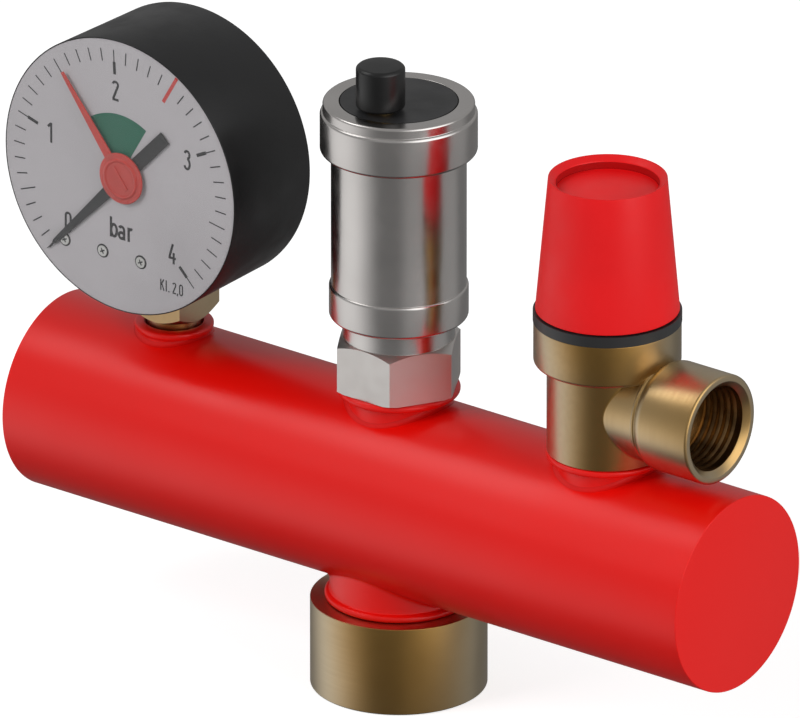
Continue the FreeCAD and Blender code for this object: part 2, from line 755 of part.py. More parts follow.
def make_gauge_stem():
    half = "stem_square / 2"
    square_top = "gauge_z - case_back_radius + 2.4 - stem_bottom"
    stem = new_body("gauge_stem", "gauge_x", "0", "stem_bottom")

    def square(sketch):
        outline(sketch, [("-" + half, "-" + half), (half, "-" + half), (half, half), ("-" + half, half)])

    add_pad(stem, "spanner_square", square, square_top + " - (stem_square_bottom - stem_bottom)",
            "stem_square_bottom - stem_bottom")
    foot = "stem_square_bottom - stem_bottom"
    corner = half + " * 1.5"
    groove(stem, "square_chamfer", [
        (half + " - 0.1", foot + " - 0.07"),
        (corner, foot + " - 0.07"),
        (corner, foot + " + stem_chamfer_drop * 1.2"),
    ])
    drill(stem, "case_saddle", "case_front_radius + rest_gap", "stem_square * 2",
          "0", "-stem_square", "gauge_z - stem_bottom", ALONG_Y)
    add_cylinder(stem, "thread", "gauge_thread_radius", "stem_undercut_bottom - stem_bottom")
    add_cylinder(stem, "undercut", "stem_undercut_radius",
                 "stem_square_bottom - stem_undercut_bottom + 1", "0", "0",
                 "stem_undercut_bottom - stem_bottom")
    add_cylinder(stem, "case_neck", "stem_neck_radius", "stem_block_bottom - stem_square_bottom",
                 "0", "0", foot)
    add_box(stem, "tube_block",
            ("stem_block_width", "stem_block_depth", "stem_block_top - stem_block_bottom"),
            ("-stem_block_width / 2", "stem_block_front_y", "stem_block_bottom - stem_bottom"))
    passage_z = "gauge_z + (tube_radius * sin(tube_start_angle)) - stem_bottom"
    drill(stem, "bore", "stem_bore_radius", passage_z)
    drill(stem, "cross_bore", "stem_bore_radius * 0.6", "stem_block_width / 2", "0", "0", passage_z,
          Rotation(Vector(0, 1, 0), -90))
    mill_box(stem, "tube_slot", ("2.2", "tube_width + 0.1", "tube_thick * 1.65"),
             ("-stem_block_width / 2 - 0.2", "-tube_width / 2 - 0.05",
              passage_z + " - tube_thick * 0.82"))
    for name, u in CASE_SCREWS:
        drill(stem, name + "_tapping", "1.55", "5", u, "stem_block_depth / 2 - 4.5",
              f"gauge_z + ({CASE_SCREW_W}) - stem_bottom", ALONG_Y)
    for name, u in MOVEMENT_SCREWS:
        drill(stem, name + "_tapping", "0.85", "3.5", u, "stem_block_front_y - 0.1",
              f"gauge_z + ({MOVEMENT_SCREW_W}) - stem_bottom", ALONG_Y)


MOVEMENT_SCREW_W = "-21.4"
MOVEMENT_SCREWS = (("left_movement_screw", "-3.5"), ("right_movement_screw", "4.5"))


def make_bourdon_tube():
    tube = new_body("bourdon_tube", "gauge_x", "tube_width / 2", "gauge_z", FACING_FRONT)
    section = sketch_on(tube, "XZ_Plane", "tube_section")
    inner = "tube_radius - tube_thick / 2"
    outer = "tube_radius + tube_thick / 2"
    outline(section, [(inner, "0"), (outer, "0"), (outer, "tube_width"), (inner, "tube_width")])
    outline(section, [
        (inner + " + tube_wall", "tube_wall"),
        (outer + " - tube_wall", "tube_wall"),
        (outer + " - tube_wall", "tube_width - tube_wall"),
        (inner + " + tube_wall", "tube_width - tube_wall"),
    ])
    bend = tube.newObject("PartDesign::Revolution", "tube_bend")
    bend.Profile = section
    bend.ReferenceAxis = (section, ["V_Axis"])
    bend.Type = "TwoAngles"
    bind(bend, "Angle", "tube_start_angle")
    bind(bend, "Angle2", "-tube_tip_angle")
    tip_turn = FACING_FRONT.multiply(Rotation(Vector(0, 0, 1), value("tube_tip_angle")))
    tip = new_body("bourdon_tip", "gauge_x", "tube_width / 2", "gauge_z", tip_turn)
    add_box(tip, "tip_block", ("tube_thick + tip_pin_inset * 1.4", "4", "tube_width + 0.4"),
            ("tube_radius - tip_pin_inset * 1.6", "-2.6", "-0.2"))
    mill_box(tip, "tip_socket", ("tube_thick + 0.1", "3", "tube_width + 0.1"),
             ("tube_radius - tube_thick / 2 - 0.05", "-0.05", "-0.05"))
    add_cylinder(tip, "tip_pin", "tip_pin_radius", "tube_width / 2 - link_back_y + link_thick + 0.3",
                 "tube_radius - tip_pin_inset", "-tip_pin_offset", "0")


def make_plate(name, y, with_dial_holes):
    corners = [("-9.8", "-23.2"), ("8.4", "-23.2"), ("8.4", "-13"), ("4.2", "-10.5"), ("4.2", "-3.5"),
               ("11.6", "-2.2"), ("11.6", "4.4"), ("-1.6", "4.4"), ("-5.6", "-10.5"), ("-9.8", "-13")]
    body = padded(name, lambda sketch: outline(sketch, corners), "plate_thick",
                  "gauge_x", y, "gauge_z", FACING_FRONT)
    arbor_hole = "pivot_radius" if name == "movement_back_plate" else "staff_radius"
    drill(body, name + "_arbor_hole", arbor_hole + " + run_gap", "plate_thick * 3",
          "arbor_u", "arbor_w", "-plate_thick")
    drill(body, name + "_sector_hole", "pivot_radius + run_gap", "plate_thick * 3",
          "sector_u", "sector_w", "-plate_thick")
    if with_dial_holes:
        for number in (1, 2):
            u = f"dial_screw_first_u + {number} * dial_screw_spacing"
            drill(body, f"dial_pillar_hole_{number}", "dial_screw_radius + thread_gap",
                  "plate_thick * 3", u, "dial_screw_w", "-plate_thick")
    else:
        for screw, u in MOVEMENT_SCREWS:
            drill(body, screw + "_hole", "1", "plate_thick * 3", u, MOVEMENT_SCREW_W, "-plate_thick")


MOVEMENT_PILLARS = (("-7.8", "-16.5"), ("9.6", "0"))


def rods(name, radius, length, y, spots):
    """Plain turned rods that stand on one face, kept together as one node."""
    group = []
    for index, (u, w) in enumerate(spots):
        rod = doc.addObject("Part::Cylinder", f"{name}_{index + 1}")
        bind(rod, "Radius", radius)
        bind(rod, "Height", length)
        group.append(place(rod, f"gauge_x + ({u})", y, f"gauge_z + ({w})", FACING_FRONT))
    node = doc.addObject("Part::Compound", name)
    node.Label = name
    node.Links = group
    return node


def make_dial_pillars():
    pillars = turned("dial_pillars", [
        ("dial_screw_radius + thread_gap", "0"),
        ("pillar_radius", "0"),
        ("pillar_radius", "front_plate_front_y - dial_back_y"),
        ("dial_screw_radius + thread_gap", "front_plate_front_y - dial_back_y"),
    ], "gauge_x + dial_screw_first_u + dial_screw_spacing", "front_plate_front_y",
        "gauge_z + dial_screw_w", FACING_FRONT)
    row_along_x(pillars, "both_dial_pillars", "dial_screw_spacing", "2")


def make_screw_row(name, radius, head, head_thick, length, first_u, seat_y, w, spacing, count):
    """Pan head screws with a driver slot, heads forward, in a row along u."""
    screws = turned(name, [
        ("0", "0"),
        (radius, "0"),
        (radius, length),
        (head, length),
        (head, f"{length} + {head_thick} * 0.6"),
        (f"{head} * 0.6", f"{length} + {head_thick}"),
        ("0", f"{length} + {head_thick}"),
    ], f"gauge_x + ({first_u})", f"{seat_y} + {length}", f"gauge_z + ({w})", FACING_FRONT)
    row_along_x(screws, name + "_row", f"{spacing} * ({count} - 1)", count)
    for number in range(int(count)):
        mill_box(screws, f"{name}_slot_{number + 1}",
                 (f"{head} * 1.3", f"{head} * 0.28", head_thick),
                 (f"{number} * {spacing} - {head} * 0.65", f"-{head} * 0.14",
                  f"{length} + {head_thick} * 0.5"))


def make_sector():
    """The toothed sector, its tail and its staff, which the tube's link swings."""
    sector = new_body("sector_gear", "gauge_x + sector_u", "sector_back_y", "gauge_z + sector_w",
                      FACING_FRONT)
    root = "sector_radius - 1.3 * gear_module"
    rim = "sector_radius - 2.4"
    first = "(sector_first_tooth - 2.5)"
    pitch = "(360 / (pinion_teeth * gear_ratio))"
    last = "(sector_first_tooth + (sector_tooth_count - 1) * 360 / (pinion_teeth * gear_ratio) + 2.5)"

    def blank(sketch):
        steps = 8
        arc = []
        for index in range(steps + 1):
            angle = f"({first} + ({last} - {first}) * {index} / {steps})"
            arc.append((f"({root}) * cos({angle})", f"({root}) * sin({angle})"))
        outline(sketch, [("1.9", "-1.2"), *arc, ("-1.6", "1.6"), ("-1.9", "-1.2"), ("0", "-2.1")])

    def window(sketch):
        near = "sector_radius * 0.36"
        outline(sketch, [
            (f"({near}) * cos({first} + 9)", f"({near}) * sin({first} + 9)"),
            (f"({rim}) * cos({first} + 5)", f"({rim}) * sin({first} + 5)"),
            (f"({rim}) * cos(({first} + {last}) / 2)", f"({rim}) * sin(({first} + {last}) / 2)"),
            (f"({rim}) * cos({last} - 5)", f"({rim}) * sin({last} - 5)"),
            (f"({near}) * cos({last} - 9)", f"({near}) * sin({last} - 9)"),
        ])

    add_pad(sector, "sector_blank", blank, "sector_thick")
    cut = sketch_on(sector, "XY_Plane", "sector_window_outline")
    window(cut)
    pocket = sector.newObject("PartDesign::Pocket", "sector_window")
    pocket.Profile = cut
    pocket.Reversed = True
    bind(pocket, "Length", "sector_thick")

    def tail(sketch):
        along = ("cos(tail_angle)", "sin(tail_angle)")
        half_width = "1.1"
        corners = []
        for reach, side in (("-1", "-1"), ("tail_length + 1.1", "-1"), ("tail_length + 1.1", "1"),
                            ("-1", "1")):
            corners.append((
                f"({reach}) * {along[0]} - ({side}) * {half_width} * {along[1]}",
                f"({reach}) * {along[1]} + ({side}) * {half_width} * {along[0]}",
            ))
        outline(sketch, corners)

    add_pad(sector, "sector_tail", tail, "sector_thick")
    # The staff runs in both plates.
    add_cylinder(sector, "staff", "staff_radius", "plate_spacing - 2 * rest_gap", "0", "0",
                 "sector_back_y - back_plate_front_y + rest_gap")
    add_cylinder(sector, "staff_pivots", "pivot_radius", "plate_spacing + plate_thick * 1.6", "0", "0",
                 "sector_back_y - back_plate_front_y - plate_thick * 0.8")
    add_cylinder(sector, "tail_pin", "tip_pin_radius",
                 "sector_back_y - link_back_y + link_thick + 0.3",
                 "tail_length * cos(tail_angle)", "tail_length * sin(tail_angle)", "0")
    tooth = tooth_feature(sector, "sector_tooth", "sector_radius", "sector_thick",
                          "sector_first_tooth")
    repeat_about_z(sector, "sector_teeth", tooth, "sector_tooth_count",
                   f"{pitch} * (sector_tooth_count - 1)")


def tooth_feature(body, name, radius, thick, angle, offset=None):
    """One tapered tooth of the module's size, standing on the pitch circle at the angle."""
    half = "(gear_module * 1.5708 * tooth_share * 2 / 2)"
    root = f"({radius} - 1.6 * gear_module)"
    tip = f"({radius} + 0.9 * gear_module)"
    corners = []
    for reach, width in ((root, f"-{half} * 1.5"), (tip, f"-{half} * 0.5"), (tip, f"{half} * 0.5"),
                         (root, f"{half} * 1.5")):
        corners.append((
            f"({reach}) * cos({angle}) - ({width}) * sin({angle})",
            f"({reach}) * sin({angle}) + ({width}) * cos({angle})",
        ))
    return add_pad(body, name, lambda sketch: outline(sketch, corners), thick, offset)


def make_pointer_arbor():
    """The pinion on its arbor, which carries the black pointer in front of the dial."""
    back = "stem_block_front_y - plate_thick * 0.2"
    arbor = new_body("pointer_arbor", "gauge_x + arbor_u", back, "gauge_z + arbor_w", FACING_FRONT)
    add_cylinder(arbor, "arbor_pivot", "pivot_radius", "plate_thick * 2")
    add_cylinder(arbor, "arbor_shaft", "staff_radius", f"{back} - plate_thick - rest_gap - pointer_front_y",
                 "0", "0", "plate_thick * 0.8 + rest_gap")
    pinion_z = f"{back} - sector_back_y - 0.4"
    tooth = tooth_feature(arbor, "pinion_tooth", "pinion_radius", "sector_thick + 0.8",
                          "-90 + 180 / pinion_teeth", pinion_z)
    add_cylinder(arbor, "pinion_core", "pinion_radius - 1.3 * gear_module", "sector_thick + 0.8",
                 "0", "0", pinion_z)
    repeat_about_z(arbor, "pinion_teeth_ring", tooth, "pinion_teeth")


def make_tip_link():
    """The flat link from the sector's tail to the pin on the tube's tip."""
    length = "sqrt(link_u * link_u + link_w * link_w)"
    across = f"(link_u / {length})"
    along = f"(link_w / {length})"
    half = "0.8"

    def strip(sketch):
        outline(sketch, [
            (f"{half} * {along}", f"-{half} * {across}"),
            (f"link_u + {half} * {along}", f"link_w - {half} * {across}"),
            (f"link_u - {half} * {along}", f"link_w + {half} * {across}"),
            (f"-{half} * {along}", f"{half} * {across}"),
        ])

    link = padded("tip_link", strip, "link_thick", "gauge_x + tail_u", "link_back_y",
                  "gauge_z + tail_w", FACING_FRONT)
    add_cylinder(link, "tail_eye", "1.3", "link_thick")
    add_cylinder(link, "tip_eye", "1.7", "link_thick", "link_u", "link_w")
    drill(link, "tail_eye_hole", "tip_pin_radius + run_gap", "link_thick * 3", "0", "0", "-link_thick")
    drill(link, "tip_eye_hole", "tip_pin_radius + 0.45", "link_thick * 3", "link_u", "link_w",
          "-link_thick")


def make_hairspring():
    """A flat spiral about the arbor, of half turns on two centres, its end run out to a pillar."""
    half_strip = value("spring_strip") / 2
    step = value("spring_step")
    first_radius = value("staff_radius + spring_inner_gap")
    outer = []
    inner = []
    for turn in range(SIZES["spring_half_turns"]):
        side = -1 if turn % 2 else 1
        centre = Vector(step if turn % 2 else 0, 0, 0)
        radius = first_radius + turn * step
        for edges, reach in ((outer, radius + half_strip), (inner, radius - half_strip)):
            start = centre + Vector(side * reach, 0, 0)
            middle = centre + Vector(0, side * reach, 0)
            end = centre - Vector(side * reach, 0, 0)
            edges.append(Part.Arc(start, middle, end).toShape())
    outer_start = Vector(first_radius + half_strip, 0, 0)
    inner_start = Vector(first_radius - half_strip, 0, 0)
    last_radius = first_radius + SIZES["spring_half_turns"] * step
    outer_end = Vector(last_radius + half_strip, 0, 0)
    inner_end = Vector(last_radius - half_strip, 0, 0)
    stud = value("spring_stud_u") - half_strip
    run = Part.makePolygon([outer_end, Vector(stud, 0, 0), Vector(stud, 2 * half_strip, 0),
                            inner_end + Vector(0, 2 * half_strip, 0), inner_end])
    ends = [Part.makeLine(inner_start, outer_start), *run.Edges]
    wire = Part.Wire(Part.__sortEdges__(outer + inner + ends))
    strip = Part.Face(wire).extrude(Vector(0, 0, value("spring_width")))
    spring = doc.addObject("Part::Feature", "hairspring")
    spring.Label = "hairspring"
    spring.Shape = strip
    place(spring, "gauge_x + arbor_u", "front_plate_back_y + 1.6", "gauge_z + arbor_w", FACING_FRONT)


def make_dial():
    dial_radius = "window_radius - thread_gap"
    dial = turned("gauge_dial", [("0", "0"), (dial_radius, "0"), (dial_radius, "dial_thick"),
                                 ("0", "dial_thick")],
                  "gauge_x", "dial_back_y", "gauge_z", FACING_FRONT)
    drill(dial, "arbor_clearance", "staff_radius + free_gap", "dial_thick * 3", "arbor_u", "arbor_w",
          "-dial_thick")
    for number in range(3):
        drill(dial, f"dial_screw_hole_{number + 1}", "dial_screw_radius + thread_gap",
              "dial_thick * 3", f"dial_screw_first_u + {number} * dial_screw_spacing",
              "dial_screw_w", "-dial_thick")


def make_pointers():
    """Both pointers are flat blades about the arbor, turned to where they stand at rest."""
    turn = FACING_FRONT.multiply(Rotation(Vector(0, 0, 1), value("pointer_rest_angle")))
    needle = "pointer_tip * 0.86"
    half_tail = "pointer_tail_width / 2"

    def blade(sketch):
        outline(sketch, [
            ("-pointer_tail", "-" + half_tail), ("-4", "-" + half_tail), ("3", "-1.5"),
            (needle, "-0.55"), ("pointer_tip", "-0.1"), ("pointer_tip", "0.1"),
            (needle, "0.55"), ("3", "1.5"), ("-4", half_tail), ("-pointer_tail", half_tail),
        ])

    pointer = padded("gauge_pointer", blade, "pointer_thick", "gauge_x + arbor_u", "pointer_back_y",
                     "gauge_z + arbor_w", turn)
    drill(pointer, "pointer_bore", "staff_radius + 0.01", "2", "0", "0", "-1")
    turn = FACING_FRONT.multiply(Rotation(Vector(0, 0, 1), value("set_pointer_angle")))

    def marker(sketch):
        outline(sketch, [("0", "-1.4"), ("set_pointer_tip", "-0.4"), ("set_pointer_tip", "0.4"),
                         ("0", "1.4")])

    marker_body = padded("set_pointer", marker, "set_pointer_thick", "gauge_x + arbor_u",
                         "set_pointer_back_y", "gauge_z + arbor_w", turn)
    add_cylinder(marker_body, "set_hub", "set_hub_radius", "set_pointer_thick")
    dome = marker_body.newObject("PartDesign::AdditiveCone", "set_dome")
    bind(dome, "Radius1", "set_dome_radius")
    bind(dome, "Radius2", "set_dome_radius - set_dome_height")
    bind(dome, "Height", "set_dome_height")
    place(dome, "0", "0", "set_pointer_thick")
    head_top = "set_pointer_back_y - window_inner_y + window_thick"
    add_cylinder(marker_body, "set_head", "set_head_radius", head_top)
    mill_box(marker_body, "screwdriver_slot",
             ("set_head_radius * 1.6", "set_slot_width", "set_slot_depth * 2"),
             ("-set_head_radius * 0.8", "-set_slot_width / 2", f"{head_top} - set_slot_depth"))


# Air vent.
def make_shutoff():
    """The hexagon with the check valve that lets the vent be unscrewed under pressure."""
    body = new_body("shutoff_body", "0", "0", "shutoff_bottom")
    foot = "(vent_rim_top - shutoff_bottom)"
    top = "(hexagon_top - shutoff_bottom)"

    def hexagon(sketch):
        outline(sketch, [(f"hexagon_corner * cos({60 * side})", f"hexagon_corner * sin({60 * side})")
                         for side in range(6)])

    add_pad(body, "spanner_hexagon", hexagon, f"{top} - {foot}", foot)
    outside = "hexagon_corner + 0.5"
    groove(body, "top_chamfer", [
        ("hexagon_chamfer_radius", top),
        (outside, f"{top} - hexagon_chamfer_drop * ({outside} - hexagon_chamfer_radius)"
                  " / (hexagon_corner - hexagon_chamfer_radius)"),
        (outside, top),
    ])
    groove(body, "foot_chamfer", [
        ("hexagon_foot_radius", foot),
        (outside, foot),
        (outside, f"{foot} + hexagon_foot_drop"),
    ])
    add_cylinder(body, "vent_thread", "inlet_thread_radius", foot)
    groove(body, "inner_bores", [
        ("0", "0"),
        ("shutoff_lip_radius", "0"),
        ("shutoff_lip_radius", "shutoff_lip_thick"),
        ("shutoff_bore_radius", "shutoff_lip_thick"),
        ("shutoff_bore_radius", "shutoff_seat_z - shutoff_bottom"),
        ("shutoff_seat_radius", "shutoff_seat_z - shutoff_bottom"),
        ("shutoff_seat_radius", "shutoff_socket_floor - shutoff_bottom"),
        ("vent_stub_radius + thread_gap", "shutoff_socket_floor - shutoff_bottom"),
        ("vent_stub_radius + thread_gap", f"{top} - seal_ring_thick"),
        ("seal_ring_radius + thread_gap", f"{top} - seal_ring_thick"),
        ("seal_ring_radius + thread_gap", top),
        ("0", top),
    ])
    head = "vent_stub_bottom - rest_gap - plunger_disc_bottom"
    plunger = turned("shutoff_plunger", [
        ("0", "0"),
        ("plunger_disc_radius", "0"),
        ("plunger_disc_radius", "plunger_disc_thick"),
        ("plunger_stem_radius", "plunger_disc_thick"),
        ("plunger_stem_radius", f"{head} - plunger_head_thick"),
        ("plunger_head_radius", f"{head} - plunger_head_thick"),
        ("plunger_head_radius", head),
        ("0", head),
    ], "0", "0", "plunger_disc_bottom")
    for index, corner in enumerate(("plunger_stem_radius", "-plunger_disc_radius - 1")):
        mill_box(plunger, f"head_flat_{index}",
                 ("plunger_disc_radius + 1 - plunger_stem_radius", "1.6", "plunger_head_thick * 2"),
                 (corner, "-0.8", f"{head} - plunger_head_thick * 1.5"))
    coil("shutoff_spring", "shutoff_bore_radius - 0.6 - shutoff_wire", "shutoff_wire",
         "(plunger_disc_bottom - shutoff_bottom - shutoff_lip_thick)", "shutoff_spring_turns",
         "0", "0", "shutoff_bottom + shutoff_lip_thick")
    turned("shutoff_seal", [
        ("vent_stub_radius + thread_gap", "0"),
        ("seal_ring_radius", "0"),
        ("seal_ring_radius", "seal_ring_thick"),
        ("vent_stub_radius + thread_gap", "seal_ring_thick"),
    ], "0", "0", "hexagon_top - seal_ring_thick")


def above_stub(height):
    return f"({height} - vent_stub_bottom)"


def make_vent_body():
    turned("vent_body", [
        ("vent_bore_radius", "0"),
        ("vent_stub_radius", "0"),
        ("vent_stub_radius", above_stub("hexagon_top")),
        ("vent_neck_ring_radius", above_stub("hexagon_top")),
        ("vent_neck_ring_radius", above_stub("vent_lower_ring_z")),
        ("vent_lower_ring_radius - vent_edge", above_stub("vent_lower_ring_z")),
        ("vent_lower_ring_radius", above_stub("vent_lower_ring_z + vent_edge")),
        ("vent_lower_ring_radius", above_stub("vent_lower_ring_top - vent_edge / 2")),
        ("vent_lower_ring_radius - vent_edge / 2", above_stub("vent_lower_ring_top")),
        ("vent_barrel_radius", above_stub("vent_lower_ring_top")),
        ("vent_barrel_radius", above_stub("vent_barrel_top")),
        ("vent_spigot_radius", above_stub("vent_barrel_top")),
        ("vent_spigot_radius", above_stub("vent_spigot_top")),
        ("vent_chamber_radius", above_stub("vent_spigot_top")),
        ("vent_chamber_radius", above_stub("vent_chamber_floor")),
        ("vent_bore_radius", above_stub("vent_chamber_floor")),
    ], "0", "0", "vent_stub_bottom")


def make_vent_head():
    bore = "vent_spigot_radius + thread_gap"
    turned("vent_head", [
        (bore, "0"),
        ("vent_head_radius - vent_edge", "0"),
        ("vent_head_radius", "vent_edge"),
        ("vent_head_radius", "vent_head_step_z - vent_edge - vent_barrel_top"),
        ("vent_head_radius - vent_edge / 2", "vent_head_step_z - vent_barrel_top"),
        ("vent_head_step_radius", "vent_head_step_z - vent_barrel_top"),
        ("vent_head_step_radius", "vent_head_top - vent_edge - vent_barrel_top"),
        ("vent_head_step_radius - vent_edge", "vent_head_top - vent_barrel_top"),
        ("insert_recess_radius", "vent_head_top - vent_barrel_top"),
        ("insert_recess_radius", "insert_bottom - vent_barrel_top"),
        ("vent_ledge_radius", "insert_bottom - vent_barrel_top"),
        ("vent_ledge_radius", "vent_ledge_z - vent_barrel_top"),
        (bore, "vent_ledge_z - vent_barrel_top"),
    ], "0", "0", "vent_barrel_top")
    ring_height = "vent_ledge_z - vent_spigot_top"
    turned("vent_head_seal", [
        ("vent_chamber_radius + thread_gap", "0"),
        ("vent_spigot_radius - thread_gap", "0"),
        ("vent_spigot_radius - thread_gap", ring_height),
        ("vent_chamber_radius + thread_gap", ring_height),
    ], "0", "0", "vent_spigot_top")


def make_vent_insert():
    """The black moulding in the head, with the boss of the nozzle and the lever's two lugs."""
    skirt = "insert_bottom - insert_skirt_bottom"
    insert = turned("vent_insert", [
        ("insert_skirt_radius - insert_skirt_wall", "0"),
        ("insert_skirt_radius", "0"),
        ("insert_skirt_radius", skirt),
        ("insert_radius", skirt),
        ("insert_radius", skirt + " + insert_thick"),
        ("0", skirt + " + insert_thick"),
        ("0", skirt),
        ("insert_skirt_radius - insert_skirt_wall", skirt),
    ], "0", "0", "insert_skirt_bottom")
    add_cylinder(insert, "nozzle_boss", "nozzle_boss_radius", skirt + " + insert_thick / 2",
                 "0", "nozzle_y", "0")
    lug_bottom = "(lever_pivot_z - 1.3 - insert_skirt_bottom)"
    lug_gap = "lever_width / 2 + rest_gap"
    for name, corner in (("left_lug", f"-({lug_gap}) - lug_thick"), ("right_lug", lug_gap)):
        add_box(insert, name, ("lug_thick", "2.4", f"2 - {lug_bottom}"),
                (corner, "lever_pivot_y - 1.2", lug_bottom))
    drill(insert, "lever_pin_hole", "lever_pin_radius + 0.01", "lever_width * 3",
          "-lever_width * 1.5", "lever_pivot_y", "lever_pivot_z - insert_skirt_bottom", ALONG_X)
    drill(insert, "nozzle_hole", "nozzle_radius + thread_gap", "20", "0", "nozzle_y", "-1")
    turned("vent_nozzle", [
        ("nozzle_bore_radius", "0"),
        ("nozzle_radius", "0"),
        ("nozzle_radius", "nozzle_top - insert_skirt_bottom"),
        ("nozzle_bore_radius", "nozzle_top - insert_skirt_bottom"),
    ], "0", "nozzle_y", "insert_skirt_bottom")
    pin_length = "lever_width + 2 * rest_gap + 2 * lug_thick"
    pin = [("0", "0"), ("lever_pin_radius", "0"), ("lever_pin_radius", pin_length), ("0", pin_length)]
    turned("vent_lever_pin", pin, f"-({pin_length}) / 2", "lever_pivot_y", "lever_pivot_z", ALONG_X)


def make_vent_cap():
    roof = "cap_roof_z - vent_cap_bottom"
    bore = "nozzle_radius + run_gap"
    turned("vent_cap", [
        (bore, "0"),
        ("vent_cap_radius - vent_cap_edge / 2", "0"),
        ("vent_cap_radius", "vent_cap_edge / 2"),
        ("vent_cap_radius", "vent_cap_top - vent_cap_edge - vent_cap_bottom"),
        ("vent_cap_radius - vent_cap_edge", "vent_cap_top - vent_cap_bottom"),
        ("0", "vent_cap_top - vent_cap_bottom"),
        ("0", roof),
        (bore, roof),
    ], "0", "nozzle_y", "vent_cap_bottom")
    washer = "nozzle_radius - rest_gap"
    turned("vent_cap_washer", [
        ("0", "0"),
        (washer, "0"),
        (washer, "washer_thick - run_gap"),
        ("0", "washer_thick - run_gap"),
    ], "0", "nozzle_y", "nozzle_top + rest_gap")


def make_vent_float():
    """The float with its stalk, the lever that it swings and the needle that the lever lifts."""
    link = "(float_link_z - float_bottom)"
    low = f"{link} - lever_thick / 2 - collar_play"
    high = f"{link} + lever_thick / 2 + collar_play"
    turned("vent_float", [
        ("0", "float_height - float_wall * 2"),
        ("float_radius - float_wall", "float_height - float_wall * 2"),
        ("float_radius - float_wall", "0"),
        ("float_radius", "0"),
        ("float_radius", "float_height - float_wall"),
        ("float_radius - float_wall", "float_height"),
        ("float_stalk_radius", "float_height"),
        ("float_stalk_radius", f"{low} - float_collar_thick"),
        ("float_collar_radius", f"{low} - float_collar_thick"),
        ("float_collar_radius", low),
        ("float_stalk_radius", low),
        ("float_stalk_radius", high),
        ("float_collar_radius", high),
        ("float_collar_radius", f"{high} + float_collar_thick"),
        ("0", f"{high} + float_collar_thick"),
    ], "0", "0", "float_bottom")
    tilt = Rotation(Vector(1, 0, 0), -value("lever_angle"))
    half = "lever_width / 2"

    def bar(sketch):
        outline(sketch, [("-" + half, "-1"), (half, "-1"), (half, "lever_length"),
                         ("-" + half, "lever_length")])

    lever = new_body("vent_lever", "0", "lever_pivot_y", "lever_pivot_z", tilt)
    add_pad(lever, "lever_bar", bar, "lever_thick", "-lever_thick / 2")
    add_cylinder(lever, "lever_eye", "lever_eye_radius", "lever_thick",
                 "0", "-lever_pivot_y / cos(lever_angle)", "-lever_thick / 2")
    add_cylinder(lever, "lever_hub", "lever_pin_radius + 0.7", "lever_width", "-" + half, "0", "0",
                 ALONG_X)
    drill(lever, "lever_pin_bore", "lever_pin_radius + run_gap", "lever_width * 2", "-lever_width",
          "0", "0", ALONG_X)
    drill(lever, "stalk_hole", "float_stalk_radius + 0.55", "lever_thick * 4",
          "0", "-lever_pivot_y / cos(lever_angle)", "-lever_thick * 2")
    foot = ("lever_pivot_z + (nozzle_y - lever_pivot_y) * -tan(lever_angle)"
            " + lever_thick / 2 / cos(lever_angle) + 0.22")
    height = f"(needle_top - ({foot}))"
    turned("vent_needle", [
        ("0", "0"),
        ("needle_pin_radius", "0"),
        ("needle_radius", f"{height} * 0.45"),
        ("needle_radius", height),
        ("needle_pin_radius", height),
        ("needle_pin_radius", f"{height} + 4"),
        ("0", f"{height} + 4"),
    ], "0", "nozzle_y", foot)


# Safety valve.
def above_valve_stub(height):
    return f"({height} - valve_stub_bottom)"


